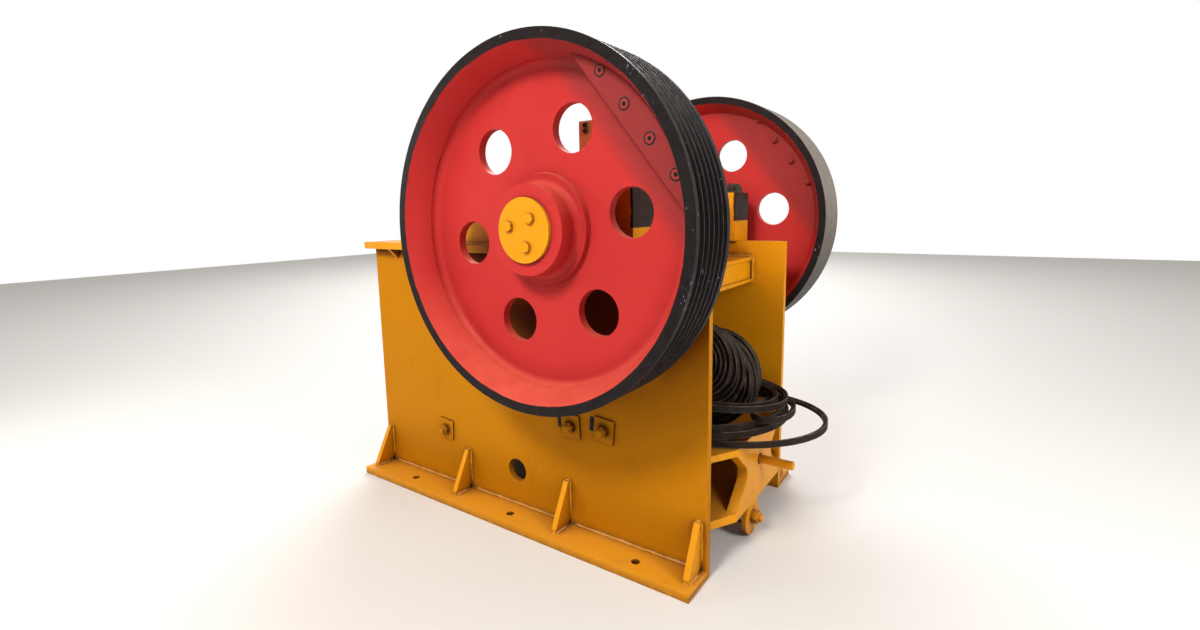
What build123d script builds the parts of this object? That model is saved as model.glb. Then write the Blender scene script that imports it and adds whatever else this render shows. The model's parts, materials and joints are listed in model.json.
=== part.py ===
"""Single-toggle jaw crusher in a welded plate frame, driven by a grooved flywheel.

Axes: +X runs from the feed end to the adjusting end, +Y across to the plain flywheel, +Z up.
Origin: on the floor, at the centre of the anchor-bolt pattern.
"""

import os
from math import atan2, cos, degrees, hypot, radians, sin, tan

from build123d import *

os.makedirs("parts", exist_ok=True)

# Frame: two side plates on outward base flanges
FRAME_WIDTH = 666.0
PLATE_T = 22.0
PLATE_TOP = 908.0
FLANGE_T = 25.0
FLANGE_OUT = 115.0
FLANGE_GROOVE_HEIGHT = 4.0
FLANGE_GROOVE_DEPTH = 3.0

# Anchor holes, the same on both base flanges, in from the ends of the frame
ANCHOR_FRONT_INSET = 248.0
ANCHOR_REAR_INSET = 190.0
ANCHOR_FROM_PLATE = 65.0
ANCHOR_SPREAD = FRAME_WIDTH + 2 * ANCHOR_FROM_PLATE
ANCHOR_D = 26.0
ANCHORS_PER_SIDE = 3

# Gussets between side plate and base flange
GUSSETS_PER_SIDE = 4
GUSSET_T = 18.0
GUSSET_END_INSET = 25.0
GUSSET_HEIGHT = 145.0
GUSSET_REACH = 80.0
GUSSET_TIP = 12.0
MOUSE_HOLE_R = 14.0

# Flange round the feed opening
TOP_FLANGE_T = 25.0
TOP_FLANGE_SINK = 13.0
TOP_FLANGE_OVERHANG = 42.0
TOP_FLANGE_INNER_LIP = 18.0
TOP_FLANGE_FRONT_LIP = 10.0
TOP_FLANGE_FRONT_DEPTH = 190.0
TOP_RIBS_PER_SIDE = 3
TOP_RIB_END_INSET = 143.0
TOP_RIB_T = 10.0
TOP_RIB_HEIGHT = 38.0
TOP_RIB_INSET = 4.0

# Guard plates standing on the feed flange
GUARD_T = 8.0
GUARD_HEIGHT = 130.0
GUARD_END_INSET = 25.0
GUARD_SLOPE = 70.0

# Eccentric shaft and its bearings
SHAFT_BEHIND_MOUTH = 390.0
SHAFT_FROM_REAR = 376.0
SHAFT_Z = 980.0
JOURNAL_D = 120.0
ECCENTRIC_D = 150.0
ECCENTRIC_LENGTH = 520.0
ECCENTRICITY = 10.0
WHEEL_SEAT_D = 110.0
RUNNING_GAP = 0.05

HOUSING_INNER_Y = 296.0
HOUSING_WIDTH = 126.0
HOUSING_R = 134.0
HOUSING_HALF_LENGTH = 200.0
HOUSING_CLEARANCE = 16.0
LUG_OVERLAP = 20.0
CAP_LUG_HEIGHT = 101.0
SEAT_SKIRT_DEPTH = 90.0
SEAT_SKIRT_INSET = 40.0
CAP_BOLT_D = 24.0
CAP_BOLT_INSET = 32.0
CAP_BOLT_DEPTH = 50.0

# Post on the drive-side cap that a belt guard bolts to
POST_OFFSET = 37.0
POST_WIDTH = 84.0
POST_T = 20.0
POST_TOP = 1273.0

# Flywheels
WHEEL_D = 950.0
WHEEL_INNER_Y = 453.0
RIM_WIDTH = 180.0
RIM_EDGE_WALL = 26.0
RIM_TAPER = 28.0
RIM_ROOT_R = 22.0
WEB_T = 25.0
WEB_RECESS = 94.0
HUB_D = 232.0
HUB_RECESS = 19.0
HUB_STEP_D = 296.0
HUB_STEP = 14.0
HUB_STEP_DRAFT = 4.0
HUB_COVE_R = 18.0
WHEEL_HOLES = 6
WHEEL_HOLE_D = 122.0
WHEEL_HOLE_PCD = 536.0
WHEEL_HOLE_PHASE = 8.6

GROOVES = 6
GROOVE_PITCH = 25.5
GROOVE_TOP = 22.4
GROOVE_BOTTOM = 9.0
GROOVE_DEPTH = 17.0
GROOVE_OVERCUT = 1.0

COUNTERWEIGHT_T = 50.0
COUNTERWEIGHT_CHORD = 360.0
COUNTERWEIGHT_GAP = 1.0

HUB_CAP_D = 166.0
HUB_CAP_T = 10.0

# Front wall and jaws
WALL_SETBACK = 186.0
WALL_T = 45.0
WALL_BOTTOM = 120.0
WALL_RIB_T = 25.0
WALL_RIBS = 3
WALL_RIB_FIRST = 150.0
WALL_RIB_PITCH = 240.0
WALL_RIB_SPREAD = 210.0

JAW_PLATE_T = 60.0
TOOTH_HEIGHT = 22.0
TOOTH_PITCH = 64.0
TOOTH_COUNT = 9
TOOTH_TOP = 19.0
JAW_SIDE_GAP = 1.0
JAW_BOTTOM = 170.0
JAW_HEIGHT = 720.0
FEED_OPENING = 400.0
DISCHARGE_OPENING = 72.0

CHEEK_T = 20.0
CHEEK_BOTTOM = 180.0
CHEEK_TOP = 885.0
CHEEK_PAST_JAW = 110.0

SWING_HALF_WIDTH = 282.0
BARREL_R = 172.0
BARREL_HALF_LENGTH = 280.0
SLAB_T = 62.0
JAW_RIB_T = 34.0
JAW_RIB_SPREAD = 190.0
JAW_RIB_FOOT = 150.0
NECK_LOW_ANGLE = 130.0
NECK_HIGH_ANGLE = 120.0
JAW_RIB_ANGLE = 45.0
TOGGLE_BOSS_HALF_HEIGHT = 75.0
TOGGLE_BOSS_RISE = 190.0

# Toggle and its adjustment
TOGGLE_Z = 236.0
TOGGLE_T = 45.0
TOGGLE_WIDTH = 460.0
TOGGLE_SETBACK = 231.0
TOGGLE_FROM_REAR = 545.0
TOGGLE_WAIST = 30.0
SEAT_GROOVE_R = 42.0
SEAT_BLOCK_T = 75.0
SEAT_BLOCK_HEIGHT = 150.0
SEAT_SLIDE_GAP = 0.5
SEAT_END_GAP = 20.0
SHIM_T = 12.0
SHIM_COUNT = 3
SHIM_STEP = 20.0
REACTION_WALL_T = 50.0

# Rear seat beam: floor, shelf and the waisted rib between them
FLOOR_BOTTOM = 119.0
FLOOR_T = 25.0
SHELF_TOP = 340.0
SHELF_T = 20.0
SHELF_DEPTH = 649.0
NOSE_REACH = 32.0
NOSE_HALF_WIDTH = 196.0
NOSE_ANGLE = 60.0
REAR_RIB_T = 31.0
REAR_RIB_WAIST = 90.0
REAR_RIB_WAIST_R = 35.0

ADJUST_ROD_D = 27.0
ADJUST_ROD_HOLE_D = 36.0
ADJUST_ROD_REACH = 105.0
ADJUST_ROD_Z = 241.0
ADJUST_ROD_CHAMFER = 2.0

# Upper cross-beam
BEAM_FROM_REAR = 115.0
BEAM_TOP = 852.0
BEAM_HEIGHT = 90.0
BEAM_DEPTH = 100.0
BEAM_T = 12.0
BEAM_LIP = 30.0
BEAM_WEB_RECESS = 5.0

# Tension rod with its spring
TENSION_Y = -32.0
TENSION_Z = 59.5
TENSION_D = 24.0
TENSION_DISC_INSET = 23.0
TENSION_DISC_D = 117.0
TENSION_DISC_T = 14.0
TENSION_NUT_AF = 36.0
TENSION_NUT_T = 22.0
TENSION_TIP = 11.0
HEAD_CLEARANCE = 20.0
SPRING_R = 27.0
SPRING_WIRE = 10.0
SPRING_WIRE_SIDES = 6
SPRING_TURNS = 6
SPRING_LENGTH = 170.0
BRACKET_T = 20.0
BRACKET_WIDTH = 110.0
LUG_PLATE_T = 28.0
LUG_FROM_TOGGLE = 130.0
LUG_R = 43.0
LUG_ROOT = 40.0
LUG_HOLE_R = 28.0

# Access hole through each side plate
ACCESS_FROM_FRONT = 714.0
ACCESS_Z = 148.0
ACCESS_D = 80.0

# Stowed drive belts: an upright coil inside flat loops, over one long loose loop
BELT_WIDTH = 22.0
BELT_T = 14.0
BELT_GAP = 0.3
COIL_FROM_NOSE = 161.0
COIL_START_Y = -157.0

# Upright hoops from the drive side on, as (x from the coil, radius, lift off the shelf, wraps)
COIL_HOOPS = (
    (4.0, 118.0, 118.0, 5),
    (9.0, 124.0, 104.0, 5),
    (14.0, 132.0, 74.0, 4),
    (12.0, 146.0, 26.0, 3),
    (4.0, 154.0, 0.0, 3),
    (10.0, 153.0, 4.0, 3),
    (21.0, 143.0, 27.0, 3),
)

# Flat loops as (x from the coil, y, half size along x, half size along y, level)
HEAP_LOOPS = (
    (-43.0, 18.0, 275.0, 275.0, 0),
    (-42.0, 18.0, 259.0, 259.0, 0),
    (-43.0, 10.0, 262.0, 262.0, 1),
    (207.0, -25.0, 60.0, 105.0, 2),
    (-261.0, 0.0, 74.0, 105.0, 2),
    (-43.0, -10.0, 282.0, 205.0, 3),
    (-43.0, -10.0, 252.0, 178.0, 3),
)
LOOP_FROM_COIL = 24.0
LOOP_Y = 36.0
LOOP_HALF_LENGTH = 322.0
LOOP_HALF_WIDTH = 262.0
LOOP_TURN = 21.8

# Worked out from the sizes above
FRAME_LENGTH = WALL_SETBACK + JAW_PLATE_T + FEED_OPENING + SHAFT_BEHIND_MOUTH + SHAFT_FROM_REAR
ANCHOR_PITCH = (FRAME_LENGTH - ANCHOR_FRONT_INSET - ANCHOR_REAR_INSET) / (ANCHORS_PER_SIDE - 1)
FRAME_REAR = ANCHOR_PITCH * (ANCHORS_PER_SIDE - 1) / 2 + ANCHOR_REAR_INSET
FRAME_FRONT = FRAME_REAR - FRAME_LENGTH
SHAFT_X = FRAME_REAR - SHAFT_FROM_REAR
TOP_FLANGE_FRONT = FRAME_FRONT - TOP_FLANGE_FRONT_LIP
TOP_FLANGE_REAR = SHAFT_X - HOUSING_HALF_LENGTH - HOUSING_CLEARANCE
WALL_FACE_X = FRAME_FRONT + WALL_SETBACK
NOSE_X = FRAME_REAR + NOSE_REACH
SHELF_FRONT = NOSE_X - SHELF_DEPTH
BEAM_REAR_X = FRAME_REAR - BEAM_FROM_REAR
TENSION_DISC_X = NOSE_X - TENSION_DISC_INSET
COIL_X = NOSE_X - COIL_FROM_NOSE
PLATE_OUT = FRAME_WIDTH / 2
PLATE_IN = PLATE_OUT - PLATE_T
TOP_FLANGE_Z = PLATE_TOP - TOP_FLANGE_SINK
WHEEL_R = WHEEL_D / 2
WHEEL_OUTER_Y = WHEEL_INNER_Y + RIM_WIDTH
WEB_OUTER_Y = WHEEL_OUTER_Y - WEB_RECESS
WEB_INNER_Y = WEB_OUTER_Y - WEB_T
HUB_FACE_Y = WHEEL_OUTER_Y - HUB_RECESS
WEIGHT_ANGLE = WHEEL_HOLE_PHASE + 180 / WHEEL_HOLES
THROW_X = -ECCENTRICITY * cos(radians(WEIGHT_ANGLE))
THROW_Z = -ECCENTRICITY * sin(radians(WEIGHT_ANGLE))
BARREL_CENTRE = (SHAFT_X + THROW_X, SHAFT_Z + THROW_Z)
JAW_TOP = JAW_BOTTOM + JAW_HEIGHT
FIXED_FACE_X = WALL_FACE_X + JAW_PLATE_T
SWING_TOP_X = FIXED_FACE_X + FEED_OPENING
SWING_BOTTOM_X = FIXED_FACE_X + DISCHARGE_OPENING
TOGGLE_FRONT = SWING_BOTTOM_X + TOGGLE_SETBACK
TOGGLE_REAR = FRAME_REAR - TOGGLE_FROM_REAR
LUG_X = TOGGLE_FRONT - LUG_FROM_TOGGLE
NIP = degrees(atan2(SWING_TOP_X - SWING_BOTTOM_X, JAW_HEIGHT))
SHELF_BOTTOM = SHELF_TOP - SHELF_T
FLOOR_TOP = FLOOR_BOTTOM + FLOOR_T
NOSE_START_X = NOSE_X - (PLATE_IN - NOSE_HALF_WIDTH) / tan(radians(NOSE_ANGLE))

SIDES = {"near": -1, "far": 1}


def upright(y):
    """Sketch plane parallel to XZ at y: its X is +X and its Y is +Z."""
    return Plane(origin=(0, y, 0), x_dir=(1, 0, 0), z_dir=(0, -1, 0))


def crosswise(x):
    """Sketch plane parallel to YZ at x: its X is +Y and its Y is +Z."""
    return Plane(origin=(x, 0, 0), x_dir=(0, 1, 0), z_dir=(1, 0, 0))


def save(part, label):
    part.label = label
    export_step(part, f"parts/{label}.step")


def side_plate(side):
    with BuildPart() as plate:
        with BuildSketch(upright(side * (PLATE_IN + PLATE_T / 2))):
            with BuildLine():
                Polyline(
                    (FRAME_FRONT, 0),
                    (FRAME_REAR, 0),
                    (FRAME_REAR, PLATE_TOP),
                    (TOP_FLANGE_REAR, PLATE_TOP),
                    (TOP_FLANGE_REAR, TOP_FLANGE_Z),
                    (FRAME_FRONT, TOP_FLANGE_Z),
                    close=True,
                )
            make_face()
            with Locations((FRAME_FRONT + ACCESS_FROM_FRONT, ACCESS_Z)):
                Circle(ACCESS_D / 2, mode=Mode.SUBTRACT)
        extrude(amount=PLATE_T / 2, both=True)
    return plate.part


def base_flange(side):
    """Foot flange with three anchor holes and a shallow groove cut across each end."""
    middle_y = side * (PLATE_OUT + FLANGE_OUT / 2)
    with BuildPart() as flange:
        with BuildSketch(Plane.XY):
            with Locations(((FRAME_FRONT + FRAME_REAR) / 2, middle_y)):
                Rectangle(FRAME_LENGTH, FLANGE_OUT)
            with Locations((0, side * ANCHOR_SPREAD / 2)):
                with GridLocations(ANCHOR_PITCH, 0, ANCHORS_PER_SIDE, 1):
                    Circle(ANCHOR_D / 2, mode=Mode.SUBTRACT)
        extrude(amount=FLANGE_T)
        with Locations((FRAME_FRONT, middle_y, FLANGE_T / 2), (FRAME_REAR, middle_y, FLANGE_T / 2)):
            Box(2 * FLANGE_GROOVE_DEPTH, FLANGE_OUT, FLANGE_GROOVE_HEIGHT, mode=Mode.SUBTRACT)
    return flange.part


def gussets(side):
    """Triangular stiffeners with a clipped tip and a mouse hole over the weld."""
    first = FRAME_FRONT + GUSSET_END_INSET
    last = FRAME_REAR - GUSSET_END_INSET
    step = (last - first) / (GUSSETS_PER_SIDE - 1)
    with BuildPart() as row:
        for i in range(GUSSETS_PER_SIDE):
            with BuildSketch(crosswise(first + i * step)):
                with BuildLine():
                    Polyline(
                        (side * PLATE_OUT, FLANGE_T),
                        (side * (PLATE_OUT + GUSSET_REACH), FLANGE_T),
                        (side * (PLATE_OUT + GUSSET_REACH), FLANGE_T + GUSSET_TIP),
                        (side * (PLATE_OUT + GUSSET_TIP), FLANGE_T + GUSSET_HEIGHT),
                        (side * PLATE_OUT, FLANGE_T + GUSSET_HEIGHT),
                        close=True,
                    )
                make_face()
                with Locations((side * PLATE_OUT, FLANGE_T)):
                    Circle(MOUSE_HOLE_R, mode=Mode.SUBTRACT)
            extrude(amount=GUSSET_T / 2, both=True)
    return row.part


def feed_flange():
    outer_width = FRAME_WIDTH + 2 * TOP_FLANGE_OVERHANG
    opening_front = TOP_FLANGE_FRONT + TOP_FLANGE_FRONT_DEPTH
    with BuildPart() as flange:
        with BuildSketch(Plane.XY.offset(TOP_FLANGE_Z)):
            with Locations(((TOP_FLANGE_FRONT + TOP_FLANGE_REAR) / 2, 0)):
                Rectangle(TOP_FLANGE_REAR - TOP_FLANGE_FRONT, outer_width)
            with Locations(((opening_front + TOP_FLANGE_REAR) / 2, 0)):
                Rectangle(
                    TOP_FLANGE_REAR - opening_front,
                    2 * (PLATE_IN - TOP_FLANGE_INNER_LIP),
                    mode=Mode.SUBTRACT,
                )
        extrude(amount=TOP_FLANGE_T)
    return flange.part


def feed_flange_ribs():
    """Small triangles under the overhang, on both sides."""
    reach = TOP_FLANGE_OVERHANG - TOP_RIB_INSET
    first = TOP_FLANGE_FRONT + TOP_RIB_END_INSET
    last = TOP_FLANGE_REAR - TOP_RIB_END_INSET
    step = (last - first) / (TOP_RIBS_PER_SIDE - 1)
    with BuildPart() as ribs:
        for i in range(TOP_RIBS_PER_SIDE):
            for side in SIDES.values():
                with BuildSketch(crosswise(first + i * step)):
                    Polygon(
                        (side * PLATE_OUT, TOP_FLANGE_Z),
                        (side * (PLATE_OUT + reach), TOP_FLANGE_Z),
                        (side * PLATE_OUT, TOP_FLANGE_Z - TOP_RIB_HEIGHT),
                        align=None,
                    )
                extrude(amount=TOP_RIB_T / 2, both=True)
    return ribs.part


def feed_guards():
    """Upright plates on both sides that keep rock off the flywheels."""
    base = TOP_FLANGE_Z + TOP_FLANGE_T
    front = WALL_FACE_X + GUARD_END_INSET
    rear = TOP_FLANGE_REAR - GUARD_END_INSET
    with BuildPart() as guards:
        for side in SIDES.values():
            with BuildSketch(upright(side * (PLATE_OUT + GUARD_T / 2))):
                Polygon(
                    (front, base),
                    (rear, base),
                    (rear, base + GUARD_HEIGHT),
                    (front + GUARD_SLOPE, base + GUARD_HEIGHT),
                    align=None,
                )
            extrude(amount=GUARD_T / 2, both=True)
    return guards.part


def housing_bolts():
    """Centres of the four cap bolts, as offsets from the shaft and from the housing's middle."""
    x = HOUSING_HALF_LENGTH - CAP_BOLT_INSET
    y = HOUSING_WIDTH / 2 - CAP_BOLT_INSET
    return [(sx * x, sy * y) for sx in (-1, 1) for sy in (-1, 1)]


def bearing_base(side):
    """Lower half of a split housing, with a skirt down the outside of the side plate."""
    middle_y = side * (HOUSING_INNER_Y + HOUSING_WIDTH / 2)
    skirt_y = side * (PLATE_OUT + (HOUSING_INNER_Y + HOUSING_WIDTH - PLATE_OUT) / 2)
    skirt_width = HOUSING_INNER_Y + HOUSING_WIDTH - PLATE_OUT
    with BuildPart() as base:
        with BuildSketch(upright(middle_y)):
            with Locations((SHAFT_X, (PLATE_TOP + SHAFT_Z) / 2)):
                Rectangle(2 * HOUSING_HALF_LENGTH, SHAFT_Z - PLATE_TOP)
        extrude(amount=HOUSING_WIDTH / 2, both=True)
        with BuildSketch(upright(skirt_y)):
            with BuildLine():
                Polyline(
                    (SHAFT_X - HOUSING_HALF_LENGTH, PLATE_TOP),
                    (SHAFT_X + HOUSING_HALF_LENGTH, PLATE_TOP),
                    (SHAFT_X + HOUSING_HALF_LENGTH - SEAT_SKIRT_INSET, PLATE_TOP - SEAT_SKIRT_DEPTH),
                    (SHAFT_X - HOUSING_HALF_LENGTH + SEAT_SKIRT_INSET, PLATE_TOP - SEAT_SKIRT_DEPTH),
                    close=True,
                )
            make_face()
        extrude(amount=skirt_width / 2, both=True)
        with BuildSketch(upright(middle_y)):
            with Locations((SHAFT_X, SHAFT_Z)):
                Circle(JOURNAL_D / 2 + RUNNING_GAP)
        extrude(amount=HOUSING_WIDTH / 2, both=True, mode=Mode.SUBTRACT)
        with Locations([(SHAFT_X + dx, middle_y + dy, SHAFT_Z) for dx, dy in housing_bolts()]):
            Hole(CAP_BOLT_D / 2, depth=CAP_BOLT_DEPTH)
    return base.part


def bearing_cap(side):
    """Upper half: a round back between two bolting lugs."""
    middle_y = side * (HOUSING_INNER_Y + HOUSING_WIDTH / 2)
    lug_start = HOUSING_R - LUG_OVERLAP
    lug_middle = (lug_start + HOUSING_HALF_LENGTH) / 2
    with BuildPart() as cap:
        with BuildSketch(upright(middle_y)):
            with Locations((SHAFT_X, SHAFT_Z)):
                Circle(HOUSING_R)
            for sign in (-1, 1):
                with Locations((SHAFT_X + sign * lug_middle, SHAFT_Z + CAP_LUG_HEIGHT / 2)):
                    Rectangle(HOUSING_HALF_LENGTH - lug_start, CAP_LUG_HEIGHT)
            with Locations((SHAFT_X, SHAFT_Z - HOUSING_R)):
                Rectangle(4 * HOUSING_R, 2 * HOUSING_R, mode=Mode.SUBTRACT)
            with Locations((SHAFT_X, SHAFT_Z)):
                Circle(JOURNAL_D / 2 + RUNNING_GAP, mode=Mode.SUBTRACT)
        extrude(amount=HOUSING_WIDTH / 2, both=True)
        with Locations(
            [(SHAFT_X + dx, middle_y + dy, SHAFT_Z + CAP_LUG_HEIGHT) for dx, dy in housing_bolts()]
        ):
            Hole(CAP_BOLT_D / 2, depth=CAP_LUG_HEIGHT)
    return cap.part


def guard_post():
    """Flat post on the drive-side cap, let into its round back."""
    y = -(HOUSING_INNER_Y + HOUSING_WIDTH / 2)
    with BuildPart() as post:
        with BuildSketch(upright(y)):
            with Locations((SHAFT_X + POST_OFFSET, (SHAFT_Z + POST_TOP) / 2)):
                Rectangle(POST_WIDTH, POST_TOP - SHAFT_Z)
            with Locations((SHAFT_X, SHAFT_Z)):
                Circle(HOUSING_R, mode=Mode.SUBTRACT)
        extrude(amount=POST_T / 2, both=True)
    return post.part


def round_bar(radius, half_length, x=SHAFT_X, z=SHAFT_Z):
    """Round bar along Y, added to the part being built."""
    with Locations((x, 0, z)):
        Cylinder(radius, 2 * half_length, rotation=(90, 0, 0))


def eccentric_shaft():
    with BuildPart() as shaft:
        round_bar(WHEEL_SEAT_D / 2, HUB_FACE_Y)
        round_bar(JOURNAL_D / 2, WHEEL_INNER_Y)
        round_bar(ECCENTRIC_D / 2, ECCENTRIC_LENGTH / 2, *BARREL_CENTRE)
    return shaft.part


def groove_centres():
    first = (RIM_WIDTH - (GROOVES - 1) * GROOVE_PITCH) / 2
    return [first + i * GROOVE_PITCH for i in range(GROOVES)]


def wheel_half_section():
    """Half section of a flywheel, as (radius, height above the rim's inner side) points."""
    web_low = WEB_INNER_Y - WHEEL_INNER_Y
    web_high = WEB_OUTER_Y - WHEEL_INNER_Y
    hub_high = HUB_FACE_Y - WHEEL_INNER_Y
    edge = WHEEL_R - RIM_EDGE_WALL
    return [
        (WHEEL_SEAT_D / 2, 0),
        (HUB_D / 2, 0),
        (HUB_D / 2, web_low),
        (edge - RIM_TAPER, web_low),
        (edge, 0),
        (WHEEL_R, 0),
        (WHEEL_R, RIM_WIDTH),
        (edge, RIM_WIDTH),
        (edge - RIM_TAPER, web_high + RIM_ROOT_R),
        (edge - RIM_TAPER - RIM_ROOT_R, web_high),
        (HUB_STEP_D / 2, web_high),
        (HUB_STEP_D / 2 - HUB_STEP_DRAFT, web_high + HUB_STEP),
        (HUB_D / 2 + HUB_COVE_R, web_high + HUB_STEP),
        (HUB_D / 2, web_high + HUB_STEP + HUB_COVE_R),
        (HUB_D / 2, hub_high),
        (WHEEL_SEAT_D / 2, hub_high),
    ]


def flywheel(side, grooved):
    """Dished wheel with a stepped hub, six round holes and a smooth or grooved rim."""
    axis = Axis((SHAFT_X, 0, SHAFT_Z), (0, 1, 0))
    plane = Plane(origin=(SHAFT_X, side * WHEEL_INNER_Y, SHAFT_Z), x_dir=(1, 0, 0), z_dir=(0, 0, side))
    points = wheel_half_section()
    root = points[8]
    web_end = points[9]
    cove_low = points[12]
    cove_high = points[13]
    with BuildPart() as wheel:
        with BuildSketch(plane):
            with BuildLine():
                Polyline(*points[:9])
                RadiusArc(root, web_end, RIM_ROOT_R)
                Polyline(*points[9:13])
                RadiusArc(cove_low, cove_high, HUB_COVE_R)
                Polyline(*points[13:], points[0])
            make_face()
            if grooved:
                for centre in groove_centres():
                    with BuildLine():
                        Polyline(
                            (WHEEL_R + GROOVE_OVERCUT, centre - GROOVE_TOP / 2),
                            (WHEEL_R - GROOVE_DEPTH, centre - GROOVE_BOTTOM / 2),
                            (WHEEL_R - GROOVE_DEPTH, centre + GROOVE_BOTTOM / 2),
                            (WHEEL_R + GROOVE_OVERCUT, centre + GROOVE_TOP / 2),
                            close=True,
                        )
                    make_face(mode=Mode.SUBTRACT)
        revolve(axis=axis)
        with BuildSketch(upright(side * (WEB_INNER_Y + WEB_T / 2))):
            with Locations((SHAFT_X, SHAFT_Z)):
                with PolarLocations(WHEEL_HOLE_PCD / 2, WHEEL_HOLES, start_angle=WHEEL_HOLE_PHASE):
                    Circle(WHEEL_HOLE_D / 2)
        extrude(amount=WEB_T, both=True, mode=Mode.SUBTRACT)
    return wheel.part


def counterweight(side):
    """Segment plate that fills the dish up to its tapered wall, opposite the shaft's throw."""
    axis = Axis((SHAFT_X, 0, SHAFT_Z), (0, 1, 0))
    plane = Plane(origin=(SHAFT_X, side * WEB_OUTER_Y, SHAFT_Z), x_dir=(1, 0, 0), z_dir=(0, 0, side))
    wall_r = WHEEL_R - RIM_EDGE_WALL - RIM_TAPER - COUNTERWEIGHT_GAP
    wall_slope = RIM_TAPER / (WEB_RECESS - RIM_ROOT_R)
    chord = Plane(
        origin=(SHAFT_X, 0, SHAFT_Z),
        x_dir=(0, 1, 0),
        z_dir=(cos(radians(WEIGHT_ANGLE)), 0, sin(radians(WEIGHT_ANGLE))),
    ).offset(COUNTERWEIGHT_CHORD)
    with BuildPart() as weight:
        with BuildSketch(plane):
            Polygon(
                (0, 0),
                (wall_r - RIM_ROOT_R, 0),
                (wall_r, RIM_ROOT_R),
                (wall_r + wall_slope * (COUNTERWEIGHT_T - RIM_ROOT_R), COUNTERWEIGHT_T),
                (0, COUNTERWEIGHT_T),
                align=None,
            )
        revolve(axis=axis)
        split(bisect_by=chord, keep=Keep.TOP)
    return weight.part


def hub_cap(side):
    with BuildPart() as cap:
        with BuildSketch(upright(side * (HUB_FACE_Y + HUB_CAP_T / 2))):
            with Locations((SHAFT_X, SHAFT_Z)):
                Circle(HUB_CAP_D / 2)
        extrude(amount=HUB_CAP_T / 2, both=True)
    return cap.part


def front_wall():
    with BuildPart() as wall:
        with BuildSketch(crosswise(WALL_FACE_X - WALL_T / 2)):
            with Locations((0, (WALL_BOTTOM + TOP_FLANGE_Z) / 2)):
                Rectangle(2 * PLATE_IN, TOP_FLANGE_Z - WALL_BOTTOM)
        extrude(amount=WALL_T / 2, both=True)
    return wall.part


def wall_rib_levels():
    return [WALL_RIB_FIRST + i * WALL_RIB_PITCH for i in range(WALL_RIBS)]


def front_ribs():
    """Level stiffeners across the outside of the front wall."""
    back = WALL_FACE_X - WALL_T
    with BuildPart() as ribs:
        for z in wall_rib_levels():
            with BuildSketch(Plane.XY.offset(z)):
                with Locations(((FRAME_FRONT + back) / 2, 0)):
                    Rectangle(back - FRAME_FRONT, 2 * PLATE_IN)
            extrude(amount=WALL_RIB_T)
    return ribs.part


def front_uprights():
    """Short stiffeners that stand between the level ones and carry the feed flange."""
    back = WALL_FACE_X - WALL_T
    levels = wall_rib_levels()
    tops = levels[1:] + [TOP_FLANGE_Z]
    with BuildPart() as uprights:
        for low, high in zip(levels, tops):
            with BuildSketch(Plane.XY.offset(low + WALL_RIB_T)):
                with Locations(((FRAME_FRONT + back) / 2, 0)):
                    with GridLocations(0, WALL_RIB_SPREAD, 1, 2):
                        Rectangle(back - FRAME_FRONT, WALL_RIB_T)
            extrude(amount=high - low - WALL_RIB_T)
    return uprights.part


def jaw_section(half_width):
    """Plan section of a corrugated jaw plate: flat back at x=0, teeth towards +x."""
    base = JAW_PLATE_T - TOOTH_HEIGHT
    start = -TOOTH_COUNT * TOOTH_PITCH / 2
    points = [(0, half_width), (0, -half_width), (base, -half_width)]
    for i in range(TOOTH_COUNT):
        low = start + i * TOOTH_PITCH
        if low > -half_width:
            points.append((base, low))
        points.append((JAW_PLATE_T, low + (TOOTH_PITCH - TOOTH_TOP) / 2))
        points.append((JAW_PLATE_T, low + (TOOTH_PITCH + TOOTH_TOP) / 2))
    points.append((base, half_width))
    return points


def fixed_jaw():
    with BuildPart() as jaw:
        with BuildSketch(Plane(origin=(WALL_FACE_X, 0, JAW_BOTTOM))):
            Polygon(*jaw_section(PLATE_IN - CHEEK_T - JAW_SIDE_GAP), align=None)
        extrude(amount=JAW_HEIGHT)
    return jaw.part


def swing_face_plane():
    """Plane square to the swing jaw's face: X points out of the face, Z runs up along it."""
    up = (sin(radians(NIP)), 0, cos(radians(NIP)))
    out = (-cos(radians(NIP)), 0, sin(radians(NIP)))
    back_x = SWING_BOTTOM_X + JAW_PLATE_T * cos(radians(NIP))
    back_z = JAW_BOTTOM - JAW_PLATE_T * sin(radians(NIP))
    return Plane(origin=(back_x, 0, back_z), x_dir=out, z_dir=up)


def swing_jaw_plate():
    length = hypot(SWING_TOP_X - SWING_BOTTOM_X, JAW_HEIGHT)
    with BuildPart() as jaw:
        with BuildSketch(swing_face_plane()):
            Polygon(*jaw_section(SWING_HALF_WIDTH), align=None)
        extrude(amount=length)
    return jaw.part


def on_barrel(angle):
    """Point of the jaw's barrel at an angle up from +X."""
    x, z = BARREL_CENTRE
    return (x + BARREL_R * cos(radians(angle)), z + BARREL_R * sin(radians(angle)))


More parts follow.
